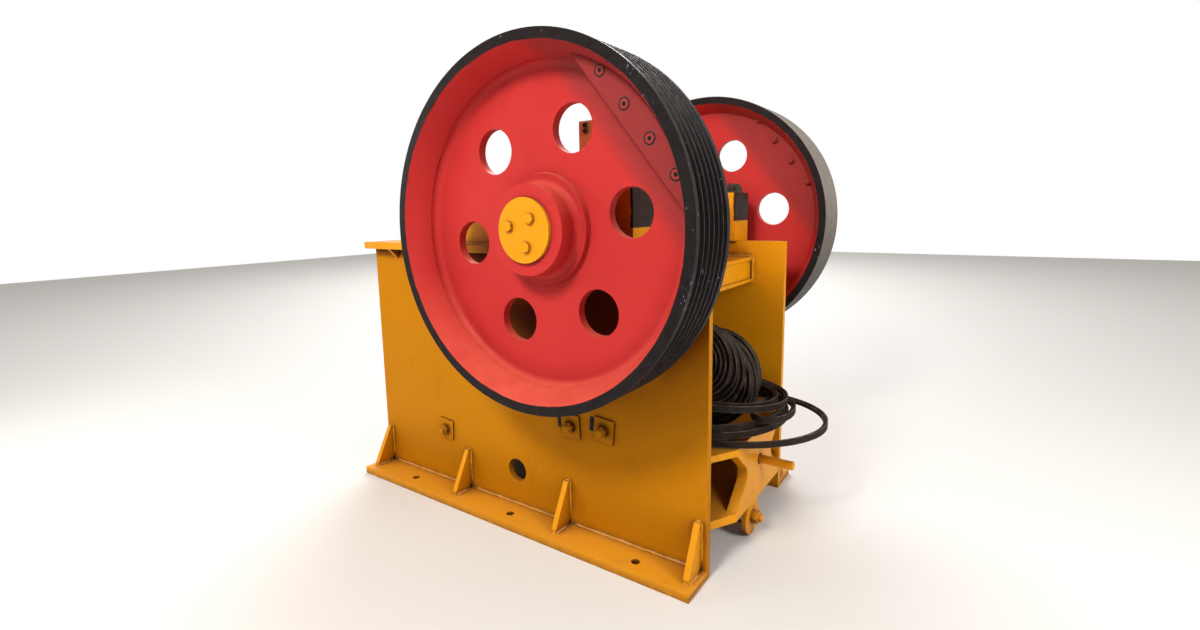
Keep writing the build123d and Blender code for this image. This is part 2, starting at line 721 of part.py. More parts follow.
def swing_jaw():
    """Casting: bearing barrel, face slab, upright ribs, toggle groove and tension lug."""
    barrel_x, barrel_z = BARREL_CENTRE
    side_plane = upright(0)
    low = swing_face_plane().origin
    run = sin(radians(NIP))
    rise = cos(radians(NIP))
    length = hypot(SWING_TOP_X - SWING_BOTTOM_X, JAW_HEIGHT)
    top = (low.X + run * length, low.Z + rise * length)
    bottom = (low.X, low.Z)
    slab_low = (bottom[0] + SLAB_T * rise, bottom[1] - SLAB_T * run)
    slab_high = (top[0] + SLAB_T * rise, top[1] - SLAB_T * run)
    groove_x = TOGGLE_FRONT + TOGGLE_T / 2 + THROW_X
    groove_z = TOGGLE_Z + THROW_Z
    with BuildPart() as jaw:
        round_bar(BARREL_R, BARREL_HALF_LENGTH, barrel_x, barrel_z)
        with BuildSketch(side_plane):
            Polygon(bottom, slab_low, slab_high, top, align=None)
        extrude(amount=SWING_HALF_WIDTH, both=True)
        with BuildSketch(side_plane):
            Polygon(
                top,
                slab_high,
                on_barrel(-NECK_LOW_ANGLE),
                (barrel_x, barrel_z),
                on_barrel(NECK_HIGH_ANGLE),
                align=None,
            )
        extrude(amount=SWING_HALF_WIDTH, both=True)
        with BuildSketch(side_plane):
            Polygon(
                slab_low,
                (groove_x, groove_z - TOGGLE_BOSS_HALF_HEIGHT),
                (groove_x, groove_z + TOGGLE_BOSS_HALF_HEIGHT),
                (slab_low[0] + TOGGLE_BOSS_RISE * run, slab_low[1] + TOGGLE_BOSS_RISE * rise),
                align=None,
            )
        extrude(amount=SWING_HALF_WIDTH, both=True)
        for y in (-JAW_RIB_SPREAD, 0, JAW_RIB_SPREAD):
            with BuildSketch(upright(y)):
                Polygon(
                    (slab_low[0] + JAW_RIB_FOOT * run, slab_low[1] + JAW_RIB_FOOT * rise),
                    (groove_x, groove_z + TOGGLE_BOSS_HALF_HEIGHT),
                    on_barrel(-JAW_RIB_ANGLE),
                    (barrel_x, barrel_z),
                    slab_high,
                    align=None,
                )
            extrude(amount=JAW_RIB_T / 2, both=True)
        with BuildSketch(crosswise(LUG_X)):
            with Locations((TENSION_Y, TENSION_Z + THROW_Z)):
                Circle(LUG_R)
            with Locations((TENSION_Y, (TENSION_Z + bottom[1] + LUG_ROOT) / 2)):
                Rectangle(2 * LUG_R, bottom[1] + LUG_ROOT - TENSION_Z)
            with Locations((TENSION_Y, TENSION_Z + THROW_Z)):
                Circle(LUG_HOLE_R, mode=Mode.SUBTRACT)
        extrude(amount=LUG_PLATE_T / 2, both=True)
        with BuildSketch(side_plane):
            with Locations((barrel_x, barrel_z)):
                Circle(ECCENTRIC_D / 2 + RUNNING_GAP)
            with Locations((groove_x, groove_z)):
                Circle(SEAT_GROOVE_R)
        extrude(amount=2 * BARREL_HALF_LENGTH, both=True, mode=Mode.SUBTRACT)
    return jaw.part


def cheek_plate(side):
    """Liner plate on the inside of a side plate, between the jaws."""
    slope = tan(radians(NIP))
    rear_low = SWING_BOTTOM_X + (CHEEK_BOTTOM - JAW_BOTTOM) * slope + CHEEK_PAST_JAW
    rear_high = SWING_BOTTOM_X + (CHEEK_TOP - JAW_BOTTOM) * slope + CHEEK_PAST_JAW
    with BuildPart() as cheek:
        with BuildSketch(upright(side * (PLATE_IN - CHEEK_T / 2))):
            Polygon(
                (WALL_FACE_X, CHEEK_BOTTOM),
                (rear_low, CHEEK_BOTTOM),
                (rear_high, CHEEK_TOP),
                (WALL_FACE_X, CHEEK_TOP),
                align=None,
            )
        extrude(amount=CHEEK_T / 2, both=True)
    return cheek.part


def toggle_plate():
    """Plate with round ends and a thinned waist, the part that gives way first."""
    front = TOGGLE_FRONT + TOGGLE_T / 2
    rear = TOGGLE_REAR - TOGGLE_T / 2
    quarter = (rear - front) / 4
    with BuildPart() as toggle:
        with BuildSketch(upright(0)):
            Polygon(
                (front, TOGGLE_Z - TOGGLE_T / 2),
                (front + quarter, TOGGLE_Z - TOGGLE_WAIST / 2),
                (rear - quarter, TOGGLE_Z - TOGGLE_WAIST / 2),
                (rear, TOGGLE_Z - TOGGLE_T / 2),
                (rear, TOGGLE_Z + TOGGLE_T / 2),
                (rear - quarter, TOGGLE_Z + TOGGLE_WAIST / 2),
                (front + quarter, TOGGLE_Z + TOGGLE_WAIST / 2),
                (front, TOGGLE_Z + TOGGLE_T / 2),
                align=None,
            )
            with Locations((front, TOGGLE_Z), (rear, TOGGLE_Z)):
                Circle(TOGGLE_T / 2)
        extrude(amount=TOGGLE_WIDTH / 2, both=True)
    return toggle.part


def seat_block():
    """Adjustable rear seat, with a groove that holds the toggle's rear end."""
    front = TOGGLE_REAR - TOGGLE_T / 2
    with BuildPart() as block:
        with BuildSketch(upright(0)):
            with Locations((front + SEAT_BLOCK_T / 2, (FLOOR_TOP + SHELF_BOTTOM) / 2)):
                Rectangle(SEAT_BLOCK_T, SHELF_BOTTOM - FLOOR_TOP - 2 * SEAT_SLIDE_GAP)
            with Locations((front, TOGGLE_Z)):
                Circle(TOGGLE_T / 2, mode=Mode.SUBTRACT)
        extrude(amount=PLATE_IN - SEAT_END_GAP, both=True)
    return block.part


def shims():
    front = TOGGLE_REAR - TOGGLE_T / 2 + SEAT_BLOCK_T
    with BuildPart() as stack:
        for i in range(SHIM_COUNT):
            with BuildSketch(crosswise(front + i * SHIM_T)):
                with Locations((0, TOGGLE_Z)):
                    Rectangle(TOGGLE_WIDTH - SHIM_STEP * i, SEAT_BLOCK_HEIGHT)
            extrude(amount=SHIM_T)
    return stack.part


def reaction_wall():
    front = TOGGLE_REAR - TOGGLE_T / 2 + SEAT_BLOCK_T + SHIM_COUNT * SHIM_T
    with BuildPart() as wall:
        with BuildSketch(crosswise(front)):
            with Locations((0, (FLOOR_TOP + SHELF_BOTTOM) / 2)):
                Rectangle(2 * PLATE_IN, SHELF_BOTTOM - FLOOR_TOP)
        extrude(amount=REACTION_WALL_T)
    return wall.part


def nose_outline():
    """Plan outline of shelf and floor: straight between the side plates, then a clipped nose."""
    return [
        (SHELF_FRONT, -PLATE_IN),
        (NOSE_START_X, -PLATE_IN),
        (NOSE_X, -NOSE_HALF_WIDTH),
        (NOSE_X, NOSE_HALF_WIDTH),
        (NOSE_START_X, PLATE_IN),
        (SHELF_FRONT, PLATE_IN),
    ]


def nose_plate(bottom, thickness):
    with BuildPart() as plate:
        with BuildSketch(Plane.XY.offset(bottom)):
            Polygon(*nose_outline(), align=None)
        extrude(amount=thickness)
    return plate.part


def rear_rib():
    """Upright rib across the nose, notched on both sides to a rounded waist."""
    height = SHELF_BOTTOM - FLOOR_TOP
    middle_z = (FLOOR_TOP + SHELF_BOTTOM) / 2
    with BuildPart() as rib:
        with BuildSketch(crosswise(NOSE_X - REAR_RIB_T)) as section:
            with Locations((0, middle_z)):
                Polygon(
                    (-NOSE_HALF_WIDTH, -height / 2),
                    (NOSE_HALF_WIDTH, -height / 2),
                    (REAR_RIB_WAIST, 0),
                    (NOSE_HALF_WIDTH, height / 2),
                    (-NOSE_HALF_WIDTH, height / 2),
                    (-REAR_RIB_WAIST, 0),
                    align=None,
                )
            waist = section.vertices().sort_by(Axis.Y)[2:4]
            fillet(waist, REAR_RIB_WAIST_R)
            with Locations((0, ADJUST_ROD_Z)):
                Circle(ADJUST_ROD_HOLE_D / 2, mode=Mode.SUBTRACT)
        extrude(amount=REAR_RIB_T)
    return rib.part


def adjusting_rod():
    front = TOGGLE_REAR - TOGGLE_T / 2 + SEAT_BLOCK_T + SHIM_COUNT * SHIM_T + REACTION_WALL_T
    with BuildPart() as rod:
        with BuildSketch(crosswise(front)):
            with Locations((0, ADJUST_ROD_Z)):
                Circle(ADJUST_ROD_D / 2)
        extrude(amount=NOSE_X + ADJUST_ROD_REACH - front)
        chamfer(rod.edges().sort_by(Axis.X)[-1], ADJUST_ROD_CHAMFER)
    return rod.part


def cross_beam():
    """Channel across the top of the rear, open towards the jaw, its web set in behind the flanges."""
    front = BEAM_REAR_X - BEAM_DEPTH
    bottom = BEAM_TOP - BEAM_HEIGHT
    web_rear = BEAM_REAR_X - BEAM_WEB_RECESS
    with BuildPart() as beam:
        with BuildSketch(upright(0)):
            Polygon(
                (front, bottom),
                (BEAM_REAR_X, bottom),
                (BEAM_REAR_X, bottom + BEAM_T),
                (web_rear, bottom + BEAM_T),
                (web_rear, BEAM_TOP - BEAM_T),
                (BEAM_REAR_X, BEAM_TOP - BEAM_T),
                (BEAM_REAR_X, BEAM_TOP),
                (front, BEAM_TOP),
                (front, BEAM_TOP - BEAM_LIP),
                (front + BEAM_T, BEAM_TOP - BEAM_LIP),
                (front + BEAM_T, BEAM_TOP - BEAM_T),
                (web_rear - BEAM_T, BEAM_TOP - BEAM_T),
                (web_rear - BEAM_T, bottom + BEAM_T),
                (front, bottom + BEAM_T),
                align=None,
            )
        extrude(amount=PLATE_IN, both=True)
    return beam.part


def tension_rod():
    """Rod from the jaw's lug to the spring, with a head in front of the lug and a nut behind."""
    head_x = LUG_X - LUG_PLATE_T / 2 - 2 * ECCENTRICITY - HEAD_CLEARANCE
    nut_x = TENSION_DISC_X + TENSION_DISC_T
    with BuildPart() as rod:
        with BuildSketch(crosswise(head_x)):
            with Locations((TENSION_Y, TENSION_Z)):
                Circle(TENSION_D / 2)
        extrude(amount=nut_x + TENSION_NUT_T + TENSION_TIP - head_x)
        with BuildSketch(crosswise(head_x)):
            with Locations((TENSION_Y, TENSION_Z)):
                RegularPolygon(TENSION_NUT_AF / 2, 6, major_radius=False)
        extrude(amount=-TENSION_NUT_T)
        with BuildSketch(crosswise(nut_x)):
            with Locations((TENSION_Y, TENSION_Z)):
                RegularPolygon(TENSION_NUT_AF / 2, 6, major_radius=False)
        extrude(amount=TENSION_NUT_T)
    return rod.part


def tension_spring():
    start = TENSION_DISC_X - SPRING_LENGTH
    pitch = (SPRING_LENGTH - SPRING_WIRE) / SPRING_TURNS
    foot = (start + SPRING_WIRE / 2, TENSION_Y, TENSION_Z)
    rise = SPRING_LENGTH - SPRING_WIRE
    with BuildPart() as spring:
        with BuildLine():
            coil = Helix(pitch=pitch, height=rise, radius=SPRING_R, center=foot, direction=(1, 0, 0))
        with BuildSketch(Plane(origin=coil @ 0, z_dir=coil % 0)):
            RegularPolygon(SPRING_WIRE / 2, SPRING_WIRE_SIDES)
        sweep(path=coil, is_frenet=True)
    return spring.part


def spring_disc():
    with BuildPart() as disc:
        with BuildSketch(crosswise(TENSION_DISC_X)):
            with Locations((TENSION_Y, TENSION_Z)):
                Circle(TENSION_DISC_D / 2)
                Circle(TENSION_D / 2, mode=Mode.SUBTRACT)
        extrude(amount=TENSION_DISC_T)
    return disc.part


def spring_bracket():
    """Plate hung under the floor that the spring pushes against."""
    x = TENSION_DISC_X - SPRING_LENGTH - BRACKET_T
    low = TENSION_Z - SPRING_R - SPRING_WIRE
    with BuildPart() as bracket:
        with BuildSketch(crosswise(x)):
            with Locations((TENSION_Y, (low + FLOOR_BOTTOM) / 2)):
                Rectangle(BRACKET_WIDTH, FLOOR_BOTTOM - low)
            with Locations((TENSION_Y, TENSION_Z)):
                Circle(TENSION_D / 2, mode=Mode.SUBTRACT)
        extrude(amount=BRACKET_T)
    return bracket.part


def belt_coil():
    """Belts wound several times and stood on edge, side by side."""
    with BuildPart() as coil:
        for i, (dx, radius, lift, wraps) in enumerate(COIL_HOOPS):
            with BuildSketch(upright(COIL_START_Y + i * BELT_WIDTH)):
                with Locations((COIL_X + dx, SHELF_TOP + BELT_GAP + lift + radius)):
                    Circle(radius)
                    Circle(radius - wraps * BELT_T, mode=Mode.SUBTRACT)
            extrude(amount=-BELT_WIDTH)
    return coil.part


def belt_heap():
    """Belts lying on one another round the coil."""
    lowest = SHELF_TOP + BELT_WIDTH + 2 * BELT_GAP
    with BuildPart() as heap:
        for dx, y, half_x, half_y, level in HEAP_LOOPS:
            with BuildSketch(Plane.XY.offset(lowest + level * BELT_WIDTH)):
                with Locations((COIL_X + dx, y)):
                    Ellipse(half_x, half_y)
                    Ellipse(half_x - BELT_T, half_y - BELT_T, mode=Mode.SUBTRACT)
            extrude(amount=BELT_WIDTH)
    return heap.part


def belt_loop():
    """The longest belt, lying open over the edge of the shelf."""
    with BuildPart() as loop:
        with BuildSketch(Plane.XY.offset(SHELF_TOP + BELT_GAP)):
            with Locations(Location((COIL_X + LOOP_FROM_COIL, LOOP_Y, 0), (0, 0, LOOP_TURN))):
                Ellipse(LOOP_HALF_LENGTH, LOOP_HALF_WIDTH)
                Ellipse(LOOP_HALF_LENGTH - BELT_T, LOOP_HALF_WIDTH - BELT_T, mode=Mode.SUBTRACT)
        extrude(amount=BELT_WIDTH)
    return loop.part


for side_name, side_sign in SIDES.items():
    save(side_plate(side_sign), f"side_plate_{side_name}")
    save(base_flange(side_sign), f"base_flange_{side_name}")
    save(gussets(side_sign), f"gussets_{side_name}")
    save(bearing_base(side_sign), f"bearing_base_{side_name}")
    save(bearing_cap(side_sign), f"bearing_cap_{side_name}")
    save(cheek_plate(side_sign), f"cheek_plate_{side_name}")
    save(counterweight(side_sign), f"counterweight_{side_name}")
    save(hub_cap(side_sign), f"hub_cap_{side_name}")

save(feed_flange(), "feed_flange")
save(feed_flange_ribs(), "feed_flange_ribs")
save(feed_guards(), "feed_guards")
save(guard_post(), "guard_post")
save(eccentric_shaft(), "eccentric_shaft")
save(flywheel(SIDES["near"], grooved=True), "flywheel_grooved")
save(flywheel(SIDES["far"], grooved=False), "flywheel_plain")
save(front_wall(), "front_wall")
save(front_ribs(), "front_ribs")
save(front_uprights(), "front_uprights")
save(fixed_jaw(), "fixed_jaw_plate")
save(swing_jaw(), "swing_jaw")
save(swing_jaw_plate(), "swing_jaw_plate")
save(toggle_plate(), "toggle_plate")
save(seat_block(), "seat_block")
save(shims(), "adjusting_shims")
save(reaction_wall(), "reaction_wall")
save(nose_plate(SHELF_BOTTOM, SHELF_T), "shelf_plate")
save(nose_plate(FLOOR_BOTTOM, FLOOR_T), "floor_plate")
save(rear_rib(), "rear_rib")
save(adjusting_rod(), "adjusting_rod")
save(cross_beam(), "cross_beam")
save(tension_rod(), "tension_rod")
save(tension_spring(), "tension_spring")
save(spring_disc(), "spring_disc")
save(spring_bracket(), "spring_bracket")
save(belt_coil(), "belt_coil")
save(belt_heap(), "belt_heap")
save(belt_loop(), "belt_loop")
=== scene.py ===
"""Looks of the jaw crusher: camera, light, paint and wear, fasteners, weld beads and stowed belts.

Lengths are in millimetres in the part's own frame, with +X to the adjusting end, +Y to the plain flywheel
and +Z up. at(), metres() and MM turn them into metres, in which the paints measure.
"""

import json
import math
import random
from typing import NamedTuple

import bmesh
import bpy
from mathutils import Matrix, Vector


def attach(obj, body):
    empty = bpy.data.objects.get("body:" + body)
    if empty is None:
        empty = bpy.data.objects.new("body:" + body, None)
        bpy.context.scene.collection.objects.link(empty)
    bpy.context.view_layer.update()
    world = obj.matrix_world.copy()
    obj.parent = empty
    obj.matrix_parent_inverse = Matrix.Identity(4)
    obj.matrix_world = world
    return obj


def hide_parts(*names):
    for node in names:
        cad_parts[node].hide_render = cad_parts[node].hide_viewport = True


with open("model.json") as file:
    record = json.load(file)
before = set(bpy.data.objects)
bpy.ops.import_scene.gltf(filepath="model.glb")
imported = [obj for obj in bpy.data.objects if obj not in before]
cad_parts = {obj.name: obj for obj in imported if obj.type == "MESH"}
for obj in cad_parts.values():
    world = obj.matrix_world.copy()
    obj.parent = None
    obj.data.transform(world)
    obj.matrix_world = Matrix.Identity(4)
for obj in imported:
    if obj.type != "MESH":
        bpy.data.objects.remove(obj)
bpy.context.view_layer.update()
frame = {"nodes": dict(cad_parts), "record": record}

MM = 0.001
IMAGE_SIZE = (1200, 630)
SIDES = {"near": -1, "far": 1}

# Sizes shared with the solids, in millimetres
PLATE_OUT = 333.0
PLATE_IN = 311.0
FRAME_FRONT = -735.0
FRAME_REAR = 677.0
FLANGE_T = 25.0
TOP_FLANGE_Z = 895.0
GUSSET_PLACES = (-710.0, -256.0, 198.0, 652.0)
GUSSET_T = 18.0
GUSSET_HEIGHT = 145.0
GUSSET_REACH = 80.0
GUSSET_CLIP = 18.0
SHAFT = Vector((301.0, 0.0, 980.0))
WHEEL_R = 475.0
RIM_EDGE_WALL = 26.0
WEB_INNER_Y = 514.0
HUB_FACE_Y = 614.0
HUB_CAP_T = 10.0
WEIGHT_FACE_Y = 589.0
WEIGHT_ANGLE = math.radians(38.6)
WEIGHT_CHORD = 360.0
HOUSING_MIDDLE_Y = 359.0
HOUSING_HALF_LENGTH = 200.0
CAP_LUG_TOP = 1081.0
CAP_BOLT_REACH = 168.0
CAP_BOLT_ACROSS = 31.0
SKIRT_DEPTH = 90.0
SKIRT_INSET = 40.0
PLATE_TOP = 908.0
TOP_FLANGE_T = 25.0
TOP_FLANGE_REAR = 85.0
GUARD_T = 8.0
GUARD_FRONT = -520.0
GUARD_REAR = 60.0
POST_T = 20.0
POST_BOLT_X = 320.0
POST_TOP = 1273.0
WALL_FACE_X = -549.0
WALL_T = 45.0
FRONT_RIB_T = 25.0
FRONT_RIB_LEVELS = (150.0, 390.0, 630.0)
FLOOR_TOP = 144.0
SHELF_TOP = 340.0
SHELF_FRONT = 60.0
NOSE_X = 709.0
NOSE_HALF_WIDTH = 196.0
NOSE_START_X = NOSE_X - (PLATE_IN - NOSE_HALF_WIDTH) / math.tan(math.radians(60))
BEAM_REAR_X = 562.0
BEAM_DEPTH = 100.0
BEAM_TOP = 852.0
BEAM_BOTTOM = 762.0
BELT_WIDTH = 22.0
BELT_T = 14.0
BELT_GAP = 0.3
COIL_X = 548.0
COIL_START_Y = -157.0

# Upright hoops from the drive side on, as (x from the coil, radius, lift off the shelf, wraps)
COIL_HOOPS = (
    (4.0, 118.0, 118.0, 5),
    (9.0, 124.0, 104.0, 5),
    (14.0, 132.0, 74.0, 4),
    (12.0, 146.0, 26.0, 3),
    (4.0, 154.0, 0.0, 3),
    (10.0, 153.0, 4.0, 3),
    (21.0, 143.0, 27.0, 3),
)

# Flat loops as (x from the coil, y, half size along x, half size along y, level)
HEAP_LOOPS = (
    (-43.0, 18.0, 275.0, 275.0, 0),
    (-42.0, 18.0, 259.0, 259.0, 0),
    (-43.0, 10.0, 262.0, 262.0, 1),
    (207.0, -25.0, 60.0, 105.0, 2),
    (-261.0, 0.0, 74.0, 105.0, 2),
    (-43.0, -10.0, 282.0, 205.0, 3),
    (-43.0, -10.0, 252.0, 178.0, 3),
)
TOP_LOOP_LIFT = 9.0
LOOP_X = 572.0
LOOP_Y = 36.0
LOOP_HALF_LENGTH = 322.0
LOOP_HALF_WIDTH = 262.0
LOOP_TURN = math.radians(21.8)

rng = random.Random(7)


def at(x, y, z):
    """A point given in millimetres."""
    return Vector((x, y, z)) * MM


def metres(sizes):
    """Sizes given in millimetres, in metres."""
    return [size * MM for size in sizes]


# Camera


def photo_camera():
    """The camera that took the photograph, solved from the wheels, plates and flanges."""
    place = at(1269.5, -1711.4, 1028.0)
    heading = math.radians(35.03)
    pitch = math.radians(-8.25)
    roll = math.radians(-1.03)
    focal_px = 574.65
    optical_axis_px = (591.4, 293.3)
    forward = Vector(
        (
            -math.sin(heading) * math.cos(pitch),
            math.cos(heading) * math.cos(pitch),
            math.sin(pitch),
        )
    )
    level = Vector((math.cos(heading), math.sin(heading), 0))
    upward = level.cross(forward)
    right = level * math.cos(roll) + upward * math.sin(roll)
    up = upward * math.cos(roll) - level * math.sin(roll)
    data = bpy.data.cameras.new("photo_camera")
    data.sensor_width = 36.0
    data.lens = focal_px / IMAGE_SIZE[0] * data.sensor_width
    data.shift_x = (IMAGE_SIZE[0] / 2 - optical_axis_px[0]) / IMAGE_SIZE[0]
    data.shift_y = (optical_axis_px[1] - IMAGE_SIZE[1] / 2) / IMAGE_SIZE[0]
    data.clip_start = 0.05
    data.clip_end = 60
    camera = bpy.data.objects.new("photo_camera", data)
    camera.matrix_world = Matrix.Translation(place) @ Matrix((right, up, -forward)).transposed().to_4x4()
    bpy.context.scene.collection.objects.link(camera)
    bpy.context.scene.camera = camera


# Stage and light

WHITE = (1.0, 1.0, 1.0, 1)
WHITE_WALL_WAY = (-0.574, 0.819, 0.0)
WHITE_WALL_EDGE = (0.05, 0.52)
SIDE_WALL = (0.34, 0.28, 0.23, 1)
CEILING = (0.18, 0.155, 0.13, 1)
CEILING_EDGE = (0.70, 0.88)
FLOOR_COLOUR = (0.78, 0.78, 0.77, 1)
FLOOR_REACH = 12000.0
OBJECT_MIDDLE = (0, 0, 700)

# Lamps as (name, place, target, diameter in metres, power in watts, colour)
LAMPS = (
    ("floor_light", (-3400, 5200, 5200), (-3400, 5200, 0), 5.0, 420, (1.0, 0.99, 0.97)),
    ("key_light", (450, -3300, 3250), OBJECT_MIDDLE, 0.85, 124, (1.0, 0.97, 0.92)),
    ("feed_light", (-2300, -2000, 1500), (-500, -300, 500), 1.0, 14, (1.0, 0.96, 0.90)),
    ("rear_light", (3100, -700, 1900), OBJECT_MIDDLE, 1.2, 48, (1.0, 0.98, 0.95)),
    ("back_light", (-1800, 2600, 3000), OBJECT_MIDDLE, 2.6, 40, (0.95, 0.97, 1.0)),
)

# Sockets of a colour mix node
MIX_SHARE = 0
MIX_FIRST = 6
MIX_SECOND = 7
MIX_RESULT = 2


def area_light(name, place, target, size, power, colour):
    """Round lamp at a point in metres, turned to its target."""
    data = bpy.data.lights.new(name, "AREA")
    data.shape = "DISK"
    data.size = size
    data.energy = power
    data.color = colour
    light = bpy.data.objects.new(name, data)
    light.location = place
    light.rotation_mode = "QUATERNION"
    light.rotation_quaternion = (target - place).to_track_quat("-Z", "Y")
    bpy.context.scene.collection.objects.link(light)


def pale_room():
    """White wall behind the object, darker and warmer walls beside it and a dim ceiling."""
    world = bpy.data.worlds.new("pale_room")
    world.use_nodes = True
    nodes = world.node_tree.nodes
    links = world.node_tree.links

    def ramp(value, low, high):
        node = nodes.new("ShaderNodeMapRange")
        node.interpolation_type = "SMOOTHSTEP"
        links.new(value, node.inputs["Value"])
        node.inputs["From Min"].default_value = low
        node.inputs["From Max"].default_value = high
        return node.outputs["Result"]

    def blend(share, second):
        node = nodes.new("ShaderNodeMix")
        node.data_type = "RGBA"
        links.new(share, node.inputs[MIX_SHARE])
        node.inputs[MIX_SECOND].default_value = second
        return node

    direction = nodes.new("ShaderNodeTexCoord").outputs["Generated"]
    parts = nodes.new("ShaderNodeSeparateXYZ")
    links.new(direction, parts.inputs["Vector"])
    towards_wall = nodes.new("ShaderNodeVectorMath")
    towards_wall.operation = "DOT_PRODUCT"
    links.new(direction, towards_wall.inputs[0])
    towards_wall.inputs[1].default_value = WHITE_WALL_WAY
    walls = blend(ramp(towards_wall.outputs["Value"], *WHITE_WALL_EDGE), WHITE)
    walls.inputs[MIX_FIRST].default_value = SIDE_WALL
    room = blend(ramp(parts.outputs["Z"], *CEILING_EDGE), CEILING)
    links.new(walls.outputs[MIX_RESULT], room.inputs[MIX_FIRST])
    links.new(room.outputs[MIX_RESULT], nodes["Background"].inputs["Color"])
    return world


def studio():
    """Pale floor and soft light, strongest from above on the drive side."""
    scene = bpy.context.scene
    scene.view_settings.view_transform = "Standard"
    scene.world = pale_room()

    mesh = bpy.data.meshes.new("floor")
    signs = ((-1, -1), (1, -1), (1, 1), (-1, 1))
    mesh.from_pydata([at(x * FLOOR_REACH, y * FLOOR_REACH, 0) for x, y in signs], [], [(0, 1, 2, 3)])
    floor = bpy.data.objects.new("floor", mesh)
    scene.collection.objects.link(floor)
    pale = bpy.data.materials.new("pale_floor")
    pale.use_nodes = True
    shader = pale.node_tree.nodes["Principled BSDF"]
    shader.inputs["Base Color"].default_value = FLOOR_COLOUR
    shader.inputs["Roughness"].default_value = 0.75
    shader.inputs["Specular IOR Level"].default_value = 0.2
    mesh.materials.append(pale)

    for name, place, target, size, power, colour in LAMPS:
        area_light(name, at(*place), at(*target), size, power, colour)


# Node graph helpers

BEVEL_SAMPLES = 4
CORNER_SAMPLES = 8
EDGE_BEND = (0.995, 0.85)


